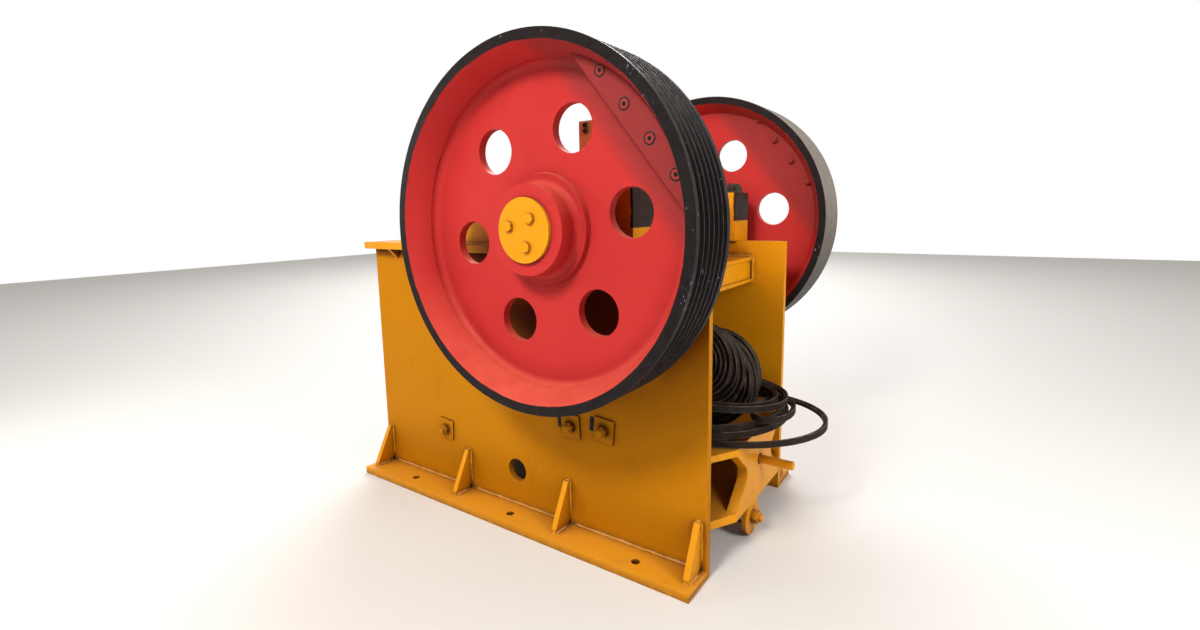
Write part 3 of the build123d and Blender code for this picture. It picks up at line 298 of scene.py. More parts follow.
class Paint:
    """One procedural material: keeps its node tree and wires named inputs."""

    def __init__(self, name):
        self.material = bpy.data.materials.new(name)
        self.material.use_nodes = True
        self.tree = self.material.node_tree
        self.shader = self.tree.nodes["Principled BSDF"]
        self.place = self.add("ShaderNodeTexCoord").outputs["Object"]

    def add(self, kind, **settings):
        """A new node with the given settings."""
        node = self.tree.nodes.new(kind)
        for key, value in settings.items():
            setattr(node, key, value)
        return node

    def feed(self, socket, value):
        """Links another node's output to the socket, or sets a plain value on it."""
        if isinstance(value, bpy.types.NodeSocket):
            self.tree.links.new(value, socket)
        else:
            socket.default_value = value

    def noise(self, scale, detail=4.0, roughness=0.55, stretch=(1, 1, 1), distortion=0.0):
        """Noise from 0 to 1; scale is in cells per metre."""
        mapping = self.add("ShaderNodeMapping")
        self.feed(mapping.inputs["Vector"], self.place)
        mapping.inputs["Scale"].default_value = stretch
        texture = self.add("ShaderNodeTexNoise")
        self.feed(texture.inputs["Vector"], mapping.outputs["Vector"])
        texture.inputs["Scale"].default_value = scale
        texture.inputs["Detail"].default_value = detail
        texture.inputs["Roughness"].default_value = roughness
        texture.inputs["Distortion"].default_value = distortion
        return texture.outputs["Fac"]

    def span(self, value, low, high, to_low=0.0, to_high=1.0):
        """Clamped remap of value from low..high."""
        node = self.add("ShaderNodeMapRange")
        self.feed(node.inputs["Value"], value)
        node.inputs["From Min"].default_value = low
        node.inputs["From Max"].default_value = high
        node.inputs["To Min"].default_value = to_low
        node.inputs["To Max"].default_value = to_high
        return node.outputs["Result"]

    def math(self, operation, first, second=0.0):
        node = self.add("ShaderNodeMath", operation=operation)
        self.feed(node.inputs[0], first)
        self.feed(node.inputs[1], second)
        return node.outputs["Value"]

    def product(self, first, second):
        return self.math("MULTIPLY", first, second)

    def mix(self, share, first, second, blend="MIX"):
        """Colour mix: first where share is 0, second where it is 1."""
        node = self.add("ShaderNodeMix", data_type="RGBA", blend_type=blend)
        self.feed(node.inputs[MIX_SHARE], share)
        self.feed(node.inputs[MIX_FIRST], first)
        self.feed(node.inputs[MIX_SECOND], second)
        return node.outputs[MIX_RESULT]

    def shade(self, share, colour, tint):
        """Colour where share is 0, colour times tint where it is 1."""
        return self.mix(share, colour, tint, "MULTIPLY")

    def component(self, vector, axis):
        parts = self.add("ShaderNodeSeparateXYZ")
        self.feed(parts.inputs["Vector"], vector)
        return parts.outputs[axis]

    def coordinate(self, axis):
        return self.component(self.place, axis)

    def facing_up(self):
        """1 on level upper faces, 0 on upright ones."""
        return self.component(self.add("ShaderNodeNewGeometry").outputs["Normal"], "Z")

    def offsets(self, x, z):
        """How far a place lies along X and Z from a point in millimetres, in metres."""
        across = self.math("SUBTRACT", self.coordinate("X"), x * MM)
        height = self.math("SUBTRACT", self.coordinate("Z"), z * MM)
        return across, height

    def distance_from(self, x, z):
        """Distance from the line along Y through a point in millimetres, in metres."""
        across, height = self.offsets(x, z)
        squares = self.math("ADD", self.math("POWER", across, 2.0), self.math("POWER", height, 2.0))
        return self.math("SQRT", squares)

    def towards_weight(self):
        """Distance from the shaft's axis towards the middle of the counterweight, in metres."""
        across, height = self.offsets(SHAFT.x, SHAFT.z)
        across = self.product(across, math.cos(WEIGHT_ANGLE))
        height = self.product(height, math.sin(WEIGHT_ANGLE))
        return self.math("ADD", across, height)

    def rounded_normal(self, radius):
        """Surface normal with edges rounded by radius, in metres."""
        bevel = self.add("ShaderNodeBevel", samples=BEVEL_SAMPLES)
        bevel.inputs["Radius"].default_value = radius
        return bevel.outputs["Normal"]

    def edges(self, radius):
        """0 on flat faces, up to 1 on edges, from the rounded normal."""
        dot = self.add("ShaderNodeVectorMath", operation="DOT_PRODUCT")
        self.feed(dot.inputs[0], self.rounded_normal(radius))
        self.feed(dot.inputs[1], self.add("ShaderNodeNewGeometry").outputs["Normal"])
        return self.span(dot.outputs["Value"], *EDGE_BEND)

    def worn_edges(self, radius, scale, low, high, share):
        """Up to share on edges, broken up by the noise of that scale between low and high."""
        return self.product(self.edges(radius), self.span(self.noise(scale), low, high, 0.0, share))

    def corners(self, reach, closed=0.45, open_at=0.92):
        """1 deep in inner corners and narrow gaps, 0 in the open; reach is in metres."""
        node = self.add("ShaderNodeAmbientOcclusion", samples=CORNER_SAMPLES)
        node.inputs["Distance"].default_value = reach
        return self.span(node.outputs["AO"], open_at, closed)

    def roughness(self, scale, low, high):
        """Roughness that wanders from low to high."""
        return self.span(self.noise(scale), 0.3, 0.7, low, high)

    def grain(self, fine, coarse, share):
        """Bump height: noise of the fine scale and share times one of the coarse scale."""
        return self.math("ADD", self.noise(fine, detail=2.0), self.product(self.noise(coarse), share))

    def finish(self, colour, roughness, bump, bump_depth, metallic=0.0, edge_radius=0.0, gloss=0.15):
        """Wires the shader and gives back the material; bump_depth and edge_radius are in metres."""
        self.shader.inputs["Specular IOR Level"].default_value = gloss
        self.feed(self.shader.inputs["Base Color"], colour)
        self.feed(self.shader.inputs["Roughness"], roughness)
        self.feed(self.shader.inputs["Metallic"], metallic)
        node = self.add("ShaderNodeBump")
        node.inputs["Distance"].default_value = bump_depth
        self.feed(node.inputs["Height"], bump)
        if edge_radius > 0:
            self.feed(node.inputs["Normal"], self.rounded_normal(edge_radius))
        self.feed(self.shader.inputs["Normal"], node.outputs["Normal"])
        return self.material


# Paints

YELLOW = (0.76, 0.310, 0.005, 1)
YELLOW_DEEP = (0.60, 0.215, 0.004, 1)
YELLOW_PALE = (0.86, 0.42, 0.035, 1)
# Darker copies of the yellow for the near side plate and its washers: partly a deeper paint tone, partly
# painted shade of the flywheel
SHADED_PLATE_YELLOW = (0.53, 0.204, 0.004, 1)
SHADED_PLATE_DEEP = (0.43, 0.142, 0.003, 1)
# Painted light: a brighter copy of the yellow for the guard post
LIT_POST_YELLOW = (0.90, 0.56, 0.22, 1)
DUST = (0.52, 0.37, 0.25, 1)
# Dark grime of smears and specks, also used for the dirt and painted shade in tight corners
GRIME_AND_SHADE = (0.10, 0.05, 0.02, 1)
SHADE = (0.24, 0.115, 0.09, 1)
PLATE_SHADE = (0.14, 0.045, 0.045, 1)
REDDISH_SHADE = (0.55, 0.32, 0.60, 1)
RED = (0.53, 0.034, 0.032, 1)
RED_DEEP = (0.42, 0.021, 0.020, 1)
RED_SHADE = (0.38, 0.34, 0.42, 1)
RED_SCUFF = (0.16, 0.02, 0.02, 1)
RED_CHORD_SHADOW = (0.22, 0.035, 0.035, 1)
RED_DUST_AND_SHEEN = (0.74, 0.13, 0.085, 1)
# Darker copies of the wheel red for the counterweights: painted shade of the rim
SHADED_WEIGHT_RED = (0.36, 0.030, 0.030, 1)
SHADED_WEIGHT_DEEP = (0.27, 0.018, 0.018, 1)
BLACK = (0.007, 0.005, 0.006, 1)
BLACK_PALE = (0.020, 0.016, 0.016, 1)
BLUE_SCRAPE = (0.20, 0.28, 0.36, 1)
WORN_GREY = (0.20, 0.17, 0.15, 1)
RIM_BARE_DARK = (0.17, 0.14, 0.115, 1)
RIM_BARE_LIGHT = (0.30, 0.26, 0.22, 1)
LUG_STEEL_DARK = (0.013, 0.009, 0.009, 1)
LUG_STEEL_LIGHT = (0.045, 0.030, 0.025, 1)
JAW_DARK = (0.10, 0.075, 0.055, 1)
JAW_LIGHT = (0.26, 0.22, 0.18, 1)
STEEL_DARK = (0.02, 0.016, 0.014, 1)
STEEL_LIGHT = (0.09, 0.07, 0.05, 1)
GREASE_DARK = (0.010, 0.008, 0.007, 1)
GREASE_LIGHT = (0.045, 0.034, 0.026, 1)
# Near-black that paints the shade inside holes and gaps
SHADOW_BLACK_DARK = (0.004, 0.003, 0.003, 1)
SHADOW_BLACK_LIGHT = (0.012, 0.010, 0.010, 1)
BRIGHT_STEEL = (0.45, 0.42, 0.38, 1)
RUBBER_DARK = (0.012, 0.009, 0.008, 1)
RUBBER_LIGHT = (0.042, 0.032, 0.026, 1)
BELT_DUST = (0.21, 0.165, 0.13, 1)
BELT_EDGE_WEAR_AND_HIGHLIGHT = (0.33, 0.26, 0.20, 1)

# Painted shade in corners and gaps, as (reach in metres, value where closed, value where open)
CORNER_PAINTED_SHADE = (0.24, 0.15, 0.62)
PLATE_PAINTED_SHADE = (0.34, 0.55, 0.88)
POST_PAINTED_SHADE = (0.02, 0.15, 0.5)
WHEEL_PAINTED_SHADE = (0.12, 0.35, 0.85)

# Height in metres above which the near plate gets painted shade under the flywheel, and the height over which
# that fades in
PLATE_PAINTED_SHADE_ABOVE = 0.30
PAINTED_SHADE_FADE = 0.30

# Places of wear, of painted shadow and of painted reflection in millimetres, as (where it starts, where it is
# full) for those with two values
LUG_BARE_EDGE = (191.0, 194.0)
SPLIT_BLUR = 2.0
WEIGHT_CHORD_SHADOW = (WEIGHT_CHORD - 90.0, WEIGHT_CHORD - 48.0)
RIM_SCUFF_PLACE = (738.0, 862.0)
RIM_SCUFF = (55.0, 30.0)
RIM_BARE_AND_REFLECTION_LEVELS = (700.0, 1080.0)
RIM_PAINT_WANDER = 1.2
RIM_PAINT_BLUR = 0.6


def yellow_paint(
    name="yellow_paint",
    dusty=0.08,
    light=YELLOW,
    deep=YELLOW_DEEP,
    painted_shade_reach=CORNER_PAINTED_SHADE,
    shade=SHADE,
    painted_shade_above=0.0,
    gloss=0.14,
):
    """Brushed-on machine paint: mottled, with dirt and painted shade in tight corners and painted shade in
    wider corners and gaps, dusty on top, pale on edges.
    """
    paint = Paint(name)
    mottle = paint.span(paint.noise(5.0, detail=6.0), 0.35, 0.68)
    colour = paint.mix(mottle, deep, light)
    colour = paint.mix(paint.span(paint.noise(2.2, detail=3.0), 0.45, 0.75, 0.0, 0.45), light, colour)
    smear = paint.noise(9.0, detail=8.0, roughness=0.7, stretch=(1, 1, 0.35), distortion=0.6)
    colour = paint.mix(paint.span(smear, 0.60, 0.80, 0.0, 0.35), colour, GRIME_AND_SHADE)
    specks = paint.span(paint.noise(160.0, detail=2.0), 0.70, 0.78, 0.0, 0.6)
    colour = paint.mix(specks, colour, GRIME_AND_SHADE)
    # Dirt and painted shade: tight corners are darkened towards the grime colour, broken up by noise.
    dirt_and_shade = paint.span(paint.noise(38.0, detail=5.0), 0.25, 0.55, 0.0, 0.75)
    colour = paint.mix(paint.product(paint.corners(0.028), dirt_and_shade), colour, GRIME_AND_SHADE)
    # Painted shade: enclosed places are darkened towards the shade tint, on the near plate only above a
    # height.
    painted_shade = paint.corners(*painted_shade_reach)
    if painted_shade_above > 0:
        height = paint.span(paint.coordinate("Z"), painted_shade_above - PAINTED_SHADE_FADE, painted_shade_above)
        painted_shade = paint.product(painted_shade, height)
    colour = paint.shade(painted_shade, colour, shade)
    colour = paint.mix(paint.worn_edges(0.003, 30.0, 0.35, 0.6, 0.55), colour, YELLOW_PALE)
    up = paint.span(paint.facing_up(), 0.6, 0.95, 0.0, dusty)
    dust = paint.product(up, paint.span(paint.noise(14.0, detail=6.0), 0.25, 0.7, 0.35, 1.0))
    colour = paint.mix(dust, colour, DUST)
    rough = paint.math("MAXIMUM", paint.roughness(40.0, 0.34, 0.52), paint.product(dust, 0.95))
    grain = paint.grain(420.0, 26.0, 2.0)
    return paint.finish(colour, rough, grain, 0.0006, edge_radius=0.0018, gloss=gloss)


def bearing_paint():
    """The same yellow, worn away to greasy steel at the ends of the upper bolting lugs, with a reddish
    painted shade in corners and gaps.
    """
    paint = Paint("bearing_paint")
    mottle = paint.span(paint.noise(9.0, detail=6.0), 0.35, 0.68)
    colour = paint.mix(mottle, YELLOW_DEEP, YELLOW)
    across, height = paint.offsets(SHAFT.x, SHAFT.z)
    ragged = paint.span(paint.noise(60.0), 0.2, 0.8, -0.004, 0.004)
    from_shaft = paint.math("ADD", paint.math("ABSOLUTE", across), ragged)
    upper = paint.span(height, *metres((-SPLIT_BLUR, SPLIT_BLUR)))
    bare = paint.product(paint.span(from_shaft, *metres(LUG_BARE_EDGE)), upper)
    steel = paint.mix(paint.noise(60.0), LUG_STEEL_DARK, LUG_STEEL_LIGHT)
    colour = paint.mix(bare, colour, steel)
    # Painted shade tinted red, for enclosed faces beside the red flywheel.
    colour = paint.shade(paint.corners(*CORNER_PAINTED_SHADE), colour, REDDISH_SHADE)
    rough = paint.roughness(40.0, 0.38, 0.6)
    grain = paint.grain(300.0, 70.0, 1.5)
    return paint.finish(colour, rough, grain, 0.0008, edge_radius=0.003, gloss=0.08)


def wheel_red(paint, light, deep):
    """Scuffed red with painted shade in corners, a painted shadow along the counterweight's chord, and dust
    with a painted sheen on up-facing faces.
    """
    mottle = paint.span(paint.noise(6.0, detail=6.0), 0.35, 0.7)
    red = paint.mix(mottle, deep, light)
    red = paint.mix(paint.span(paint.noise(2.5), 0.40, 0.70, 0.0, 0.6), light, red)
    # Painted shade in the wheel's corners and gaps.
    red = paint.shade(paint.corners(*WHEEL_PAINTED_SHADE), red, RED_SHADE)
    scuffs = paint.noise(24.0, detail=8.0, roughness=0.75, stretch=(1, 1, 0.4))
    red = paint.mix(paint.span(scuffs, 0.66, 0.82, 0.0, 0.4), red, RED_SCUFF)
    # Painted shadow of the counterweight: a dark band along its chord.
    chord_shadow = paint.span(paint.towards_weight(), *metres(WEIGHT_CHORD_SHADOW), 0.0, 0.6)
    red = paint.mix(chord_shadow, red, RED_CHORD_SHADOW)
    # Dust and painted sheen: up-facing faces turn paler salmon.
    dust_and_sheen = paint.span(paint.facing_up(), 0.25, 0.95, 0.0, 0.8)
    dust_and_sheen = paint.product(dust_and_sheen, paint.span(paint.noise(16.0), 0.2, 0.6, 0.5, 1.0))
    return paint.mix(dust_and_sheen, red, RED_DUST_AND_SHEEN)


def rim_black(paint):
    """Black with grey chips, worn edges and a few bluish scrapes."""
    black = paint.mix(paint.noise(30.0), BLACK, BLACK_PALE)
    chips = paint.span(paint.noise(95.0, detail=3.0), 0.71, 0.74, 0.0, 0.8)
    black = paint.mix(chips, black, WORN_GREY)
    black = paint.mix(paint.worn_edges(0.0025, 45.0, 0.42, 0.6, 0.22), black, WORN_GREY)
    patch = paint.span(paint.noise(7.0, detail=2.0), 0.70, 0.74)
    scuff = paint.span(paint.distance_from(*RIM_SCUFF_PLACE), *metres(RIM_SCUFF))
    scrape = paint.span(paint.noise(150.0, detail=3.0, stretch=(1, 1, 0.5)), 0.64, 0.68, 0.0, 0.8)
    return paint.mix(paint.product(paint.math("MAXIMUM", patch, scuff), scrape), black, BLUE_SCRAPE)


def wheel_paint(name, rim_is_bare, light=RED, deep=RED_DEEP):
    """Red inside the rim, black on its edge and outside; a bare rim's outside turns to metal above a height,
    worn bare and painted lighter there as a painted reflection.
    """
    paint = Paint(name)
    red = wheel_red(paint, light, deep)
    black = rim_black(paint)
    radius = paint.distance_from(SHAFT.x, SHAFT.z)
    if rim_is_bare:
        streaks = paint.noise(30.0, detail=5.0, stretch=(0.4, 6, 0.4))
        bare = paint.mix(paint.span(streaks, 0.3, 0.7), RIM_BARE_DARK, RIM_BARE_LIGHT)
        outside = paint.span(radius, *metres((WHEEL_R - 2.0, WHEEL_R - 1.0)))
        # Bare metal and painted reflection: the outside is lighter from this height up.
        bare_and_reflecting_top = paint.span(paint.coordinate("Z"), *metres(RIM_BARE_AND_REFLECTION_LEVELS))
        black = paint.mix(paint.product(outside, bare_and_reflecting_top), black, bare)
    edge = WHEEL_R - RIM_EDGE_WALL
    wander = paint.span(paint.noise(18.0), 0.2, 0.8, *metres((-RIM_PAINT_WANDER, RIM_PAINT_WANDER)))
    wandering = paint.math("ADD", radius, wander)
    is_rim = paint.span(wandering, *metres((edge - RIM_PAINT_BLUR, edge + RIM_PAINT_BLUR)))
    colour = paint.mix(is_rim, red, black)
    rough = paint.roughness(50.0, 0.38, 0.54)
    grain = paint.grain(350.0, 40.0, 2.0)
    return paint.finish(colour, rough, grain, 0.0003, edge_radius=0.001, gloss=0.10)


def worn_steel(name, dark, light, metallic=0.5, grain_scale=160.0, depth=0.0008):
    """Bare or oiled steel, mottled from dark to light, with brighter edges."""
    paint = Paint(name)
    colour = paint.mix(paint.span(paint.noise(28.0, detail=7.0), 0.3, 0.7), dark, light)
    colour = paint.mix(paint.product(paint.edges(0.002), 0.35), colour, BRIGHT_STEEL)
    rough = paint.roughness(60.0, 0.35, 0.6)
    grain = paint.noise(grain_scale, detail=6.0)
    return paint.finish(colour, rough, grain, depth, metallic, edge_radius=0.0015)


def belt_rubber():
    """Black fabric-wrapped rubber, dusted brown on its upper sides, and paler on its edges from rubbing and a
    painted highlight.
    """
    paint = Paint("belt_rubber")
    colour = paint.mix(paint.noise(35.0, detail=5.0), RUBBER_DARK, RUBBER_LIGHT)
    dust = paint.span(paint.noise(20.0), 0.4, 0.8, 0.0, 0.6)
    colour = paint.mix(paint.product(paint.span(paint.facing_up(), 0.2, 1.0), dust), colour, BELT_DUST)
    # Rubbing wear and painted highlight on the belts' edges.
    colour = paint.mix(paint.worn_edges(0.004, 25.0, 0.35, 0.65, 0.8), colour, BELT_EDGE_WEAR_AND_HIGHLIGHT)
    rough = paint.roughness(50.0, 0.5, 0.72)
    grain = paint.noise(600.0, detail=3.0)
    return paint.finish(colour, rough, grain, 0.0003, gloss=0.05)


# Mesh helpers

ON_AXIS = 1e-6
HEX_CHAMFER = 0.14
HEX_TOP = 0.88
WASHER_CHAMFER = 0.5
THREAD_DEPTH = 0.32
STUD_CHAMFER = 1.5


def piece(name, mesh_maker, material, body):
    """Makes an object from a bmesh filled by mesh_maker, gives it its finish and lets it ride on its body."""
    bm = bmesh.new()
    mesh_maker(bm)
    bmesh.ops.recalc_face_normals(bm, faces=bm.faces)
    mesh = bpy.data.meshes.new(name)
    bm.to_mesh(mesh)
    bm.free()
    obj = bpy.data.objects.new(name, mesh)
    bpy.context.scene.collection.objects.link(obj)
    mesh.materials.append(material)
    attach(obj, body)
    return obj


def smooth(obj, angle=35.0):
    """Smooth shading that keeps edges sharper than angle, in degrees."""
    mesh = obj.data
    mesh.shade_smooth()
    mesh.set_sharp_from_angle(angle=math.radians(angle))
    return obj


def lathe(bm, profile, matrix, segments=32):
    """Closed solid of revolution about local Z from (radius, height) points, first and last on the axis."""
    rings = []
    for radius, height in profile:
        if radius < ON_AXIS:
            rings.append([bm.verts.new(matrix @ Vector((0, 0, height * MM)))])
            continue
        ring = []
        for i in range(segments):
            turn = 2 * math.pi * i / segments
            spot = Vector((radius * math.cos(turn), radius * math.sin(turn), height)) * MM
            ring.append(bm.verts.new(matrix @ spot))
        rings.append(ring)
    for low, high in zip(rings, rings[1:]):
        for i in range(segments):
            j = (i + 1) % segments
            if len(low) == 1:
                bm.faces.new((low[0], high[i], high[j]))
            elif len(high) == 1:
                bm.faces.new((low[i], low[j], high[0]))
            else:
                bm.faces.new((low[i], low[j], high[j], high[i]))


def facing(place, normal, twist=0.0):
    """Placement at a point in millimetres, with local Z along normal."""
    turn = Vector(normal).to_track_quat("Z", "Y").to_matrix().to_4x4()
    return Matrix.Translation(at(*place)) @ turn @ Matrix.Rotation(twist, 4, "Z")


def hexagon(bm, matrix, flats, base, height):
    """Six-sided head or nut with its corners turned down."""
    corner = flats / 2 / math.cos(math.pi / 6)
    top = base + height
    shoulder = top - height * HEX_CHAMFER
    profile = [(0, base), (corner, base), (corner, shoulder), (corner * HEX_TOP, top), (0, top)]
    lathe(bm, profile, matrix, segments=6)


def washer(bm, matrix, radius, base, thick):
    top = base + thick
    shoulder = top - WASHER_CHAMFER
    profile = [(0, base), (radius, base), (radius, shoulder), (radius - WASHER_CHAMFER, top), (0, top)]
    lathe(bm, profile, matrix, segments=28)


def stud(bm, matrix, radius, base, length, pitch):
    """Threaded end, its thread turned as plain grooves, with a chamfered tip."""
    profile = [(0, base)]
    turns = int(length / pitch)
    for i in range(turns):
        profile.append((radius, base + i * pitch))
        profile.append((radius - THREAD_DEPTH * pitch, base + (i + 0.5) * pitch))
    end = base + length
    profile += [(radius, base + turns * pitch), (radius - STUD_CHAMFER, end), (0, end)]
    lathe(bm, profile, matrix, segments=16)


def plate_block(bm, matrix, width, height, thick, edge=1.0):
    """Flat square-edged plate with a small chamfer round its outer face."""
    rings = []
    for inset, level in ((0, 0), (0, thick - edge), (edge, thick)):
        x = width / 2 - inset
        y = height / 2 - inset
        corners = ((-x, -y), (x, -y), (x, y), (-x, y))
        rings.append([bm.verts.new(matrix @ (Vector((u, v, level)) * MM)) for u, v in corners])
    bm.faces.new(rings[0])
    bm.faces.new(rings[-1])
    for low, high in zip(rings, rings[1:]):
        for i in range(4):
            j = (i + 1) % 4
            bm.faces.new((low[i], low[j], high[j], high[i]))


def tube(bm, rings, closed):
    """Skins equal rings of points; open ends are capped."""
    made = [[bm.verts.new(spot) for spot in ring] for ring in rings]
    pairs = list(zip(made, made[1:]))
    if closed:
        pairs.append((made[-1], made[0]))
    else:
        bm.faces.new(made[0])
        bm.faces.new(made[-1])
    count = len(made[0])
    for low, high in pairs:
        for i in range(count):
            j = (i + 1) % count
            bm.faces.new((low[i], low[j], high[j], high[i]))


# Weld beads

RIPPLE = 4.5
RIPPLE_LOW = 0.86
SWELL = 0.16
SWELL_STEP = 0.31
UNEVEN = 0.07
END_SIZE = 0.45
END_GROWTH = 0.25
BEAD_SECTION = (-100, -55, -18, 18, 55, 100)
GUSSET_GAP = 26.0


def bead(bm, start, end, open_to, radius=5.5):
    """Rippled fillet along the corner line from start to end, bulging towards open_to."""
    start = at(*start)
    end = at(*end)
    along = (end - start).normalized()
    outward = Vector(open_to).normalized()
    across = along.cross(outward)
    steps = max(3, round((end - start).length / (RIPPLE * MM)))
    rings = []
    drift = rng.uniform(0, 6)
    for i in range(steps + 1):
        middle = start.lerp(end, i / steps)
        ripple = RIPPLE_LOW if i % 2 else 1.0
        slow = 1 + SWELL * math.sin(drift + i * SWELL_STEP) + rng.uniform(-UNEVEN, UNEVEN)
        taper = min(1.0, END_SIZE + END_GROWTH * min(i, steps - i))
        size = radius * MM * ripple * slow * taper
        ring = []
        for angle in BEAD_SECTION:
            turn = math.radians(angle)
            ring.append(middle + outward * (size * math.cos(turn)) + across * (size * math.sin(turn)))
        rings.append(ring)
    tube(bm, rings, closed=False)


def gusset_beads(bm, side, x):
    """Round one gusset: up the side plate and along the base flange on both faces, at its tip and its top."""
    plate = side * PLATE_OUT
    start = GUSSET_CLIP + 6
    top = FLANGE_T + GUSSET_HEIGHT
    tip = side * (PLATE_OUT + GUSSET_REACH)
    for face in (-1, 1):
        edge = x + face * GUSSET_T / 2
        bead(bm, (edge, plate, FLANGE_T + start), (edge, plate, top - 2), (face, side, 0), 5.0)
        inner = side * (PLATE_OUT + start)
        outer = side * (PLATE_OUT + GUSSET_REACH - 1)
        bead(bm, (edge, inner, FLANGE_T), (edge, outer, FLANGE_T), (face, 0, 1), 5.0)
    half = GUSSET_T / 2 - 1
    bead(bm, (x - half, tip, FLANGE_T), (x + half, tip, FLANGE_T), (0, side, 1), 4.5)
    bead(bm, (x - half, plate, top), (x + half, plate, top), (0, side, 1), 5.0)


def gusset_clip_shadows(bm):
    """Painted shade: a near-black pad in the clipped corner at the foot of each gusset."""
    for side in SIDES.values():
        for x in GUSSET_PLACES:
            spot = (x - GUSSET_T / 2 + 0.5, side * (PLATE_OUT + GUSSET_CLIP / 2), FLANGE_T + GUSSET_CLIP / 2)
            plate_block(bm, facing(spot, (1, 0, 0)), GUSSET_CLIP, GUSSET_CLIP, GUSSET_T - 1, edge=0.5)


def foot_beads(bm, side):
    """Side plate to base flange, broken by the gussets."""
    edges = [FRAME_FRONT]
    for x in GUSSET_PLACES:
        edges += [x - GUSSET_GAP, x + GUSSET_GAP]
    edges.append(FRAME_REAR)
    y = side * PLATE_OUT
    for first, last in zip(edges[::2], edges[1::2]):
        if last > first:
            bead(bm, (first, y, FLANGE_T), (last, y, FLANGE_T), (0, side, 1))


def housing_beads(bm, side):
    """Round the skirt under a bearing housing."""
    y = side * PLATE_OUT
    low = PLATE_TOP - SKIRT_DEPTH
    left = SHAFT.x - HOUSING_HALF_LENGTH
    right = SHAFT.x + HOUSING_HALF_LENGTH
    bead(bm, (left, y, PLATE_TOP), (left + SKIRT_INSET, y, low), (-1, side, -0.4))
    bead(bm, (left + SKIRT_INSET, y, low), (right - SKIRT_INSET, y, low), (0, side, -1))
    bead(bm, (right - SKIRT_INSET, y, low), (right, y, PLATE_TOP), (1, side, -0.4))


def top_flange_beads(bm, side):
    """Under the feed flange along the side plate, and at the foot of the feed guard."""
    y = side * PLATE_OUT
    bead(bm, (FRAME_FRONT, y, TOP_FLANGE_Z), (TOP_FLANGE_REAR, y, TOP_FLANGE_Z), (0, side, -1))
    y = side * (PLATE_OUT + GUARD_T)
    level = TOP_FLANGE_Z + TOP_FLANGE_T
    bead(bm, (GUARD_FRONT, y, level), (GUARD_REAR, y, level), (0, side, 1), 4.0)


def rear_beads(bm, side):
    """Inside the side plate along the shelf, the floor plate and the cross beam."""
    y = side * PLATE_IN
    for z in (SHELF_TOP, FLOOR_TOP):
        bead(bm, (SHELF_FRONT, y, z), (NOSE_START_X, y, z), (0, -side, 1), 5.0)
    top_front, bottom_front = [(BEAM_REAR_X - BEAM_DEPTH, y, z) for z in (BEAM_TOP, BEAM_BOTTOM)]
    top_rear, bottom_rear = [(BEAM_REAR_X, y, z) for z in (BEAM_TOP, BEAM_BOTTOM)]
    bead(bm, top_front, top_rear, (0, -side, 1), 6.0)
    bead(bm, bottom_rear, top_rear, (1, -side, 0), 7.0)
    bead(bm, bottom_front, bottom_rear, (0, -side, -1), 6.0)


def weld_beads(bm):
    """Every bead of the frame, side by side and then along the front wall."""
    wall_back = WALL_FACE_X - WALL_T
    rib_tops = [level + FRONT_RIB_T for level in FRONT_RIB_LEVELS]
    for side in SIDES.values():
        foot_beads(bm, side)
        for x in GUSSET_PLACES:
            gusset_beads(bm, side, x)
        housing_beads(bm, side)
        top_flange_beads(bm, side)
        rear_beads(bm, side)
        y = side * PLATE_IN
        for z in rib_tops:
            bead(bm, (FRAME_FRONT, y, z), (wall_back, y, z), (0, -side, 1))
    for z in rib_tops:
        bead(bm, (wall_back, -PLATE_IN, z), (wall_back, PLATE_IN, z), (-1, 0, 1))


# Fasteners

HUB_BOLT_OFFSETS = ((-46, 10), (25, 30), (11, -42))
RING_BOLT_OFFSETS = (-153, -51, 51, 153)
RING_BOLT_SHIFT = {"near": -7, "far": 14}
RING_BOLT_CHORD = 392.0
RING_BOLT_FACE = (11.5, 0, 1.2)
COUNTERBORE_RING = (15.5, 0, 0.6)
COUNTERBORE_END = (5.5, 1.0, 1.0)
LINER_BOLT_PLACES = ((-369, 225, 4), (216, 355, -3), (341, 367, 5))
LINER_WASHER = (70, 74, 5)
LINER_SLOT = (22, 46, 0.8)
LINER_SLOT_OUT = 7
LINER_SLOT_UP = 12
POST_BOLT_DROPS = (12, 28)
WALL_BOLT_ACROSS = (-150, 150)
WALL_BOLT_LEVELS = (290, 560, 780)


class Bolt(NamedTuple):
    """One kind of bolt: flats and height of its head or nut, and its washer and thread if it has them."""

    flats: float
    head: float
    washer_r: float = 0.0
    washer_t: float = 0.0
    thread_r: float = 0.0
    thread: float = 0.0
    pitch: float = 3.0


HUB_BOLT = Bolt(flats=24, head=10)
RING_NUT = Bolt(flats=20, head=10, thread_r=6.0, thread=6, pitch=2.0)
LINER_BOLT = Bolt(flats=30, head=16, thread_r=10, thread=14, pitch=2.5)
CAP_NUT = Bolt(flats=36, head=20, washer_r=22, washer_t=4, thread_r=11.8, thread=11)
POST_BOLT = Bolt(flats=13, head=8)
WALL_NUT = Bolt(flats=41, head=24, washer_r=25, washer_t=4, thread_r=13.5, thread=12)


def turned(spot, normal):
    """Placement at a point with local Z along normal, turned about it at random."""
    return facing(spot, normal, rng.uniform(0, 1))


def fasten(bm, matrix, bolt, seat=0.0):
    """One bolt that stands seat above its placement, the thread starting just inside the nut."""
    if bolt.washer_t > 0:
        washer(bm, matrix, bolt.washer_r, seat, bolt.washer_t)
    base = seat + bolt.washer_t
    hexagon(bm, matrix, bolt.flats, base, bolt.head)
    if bolt.thread > 0:
        stud(bm, matrix, bolt.thread_r, base + bolt.head - 1, bolt.thread, bolt.pitch)


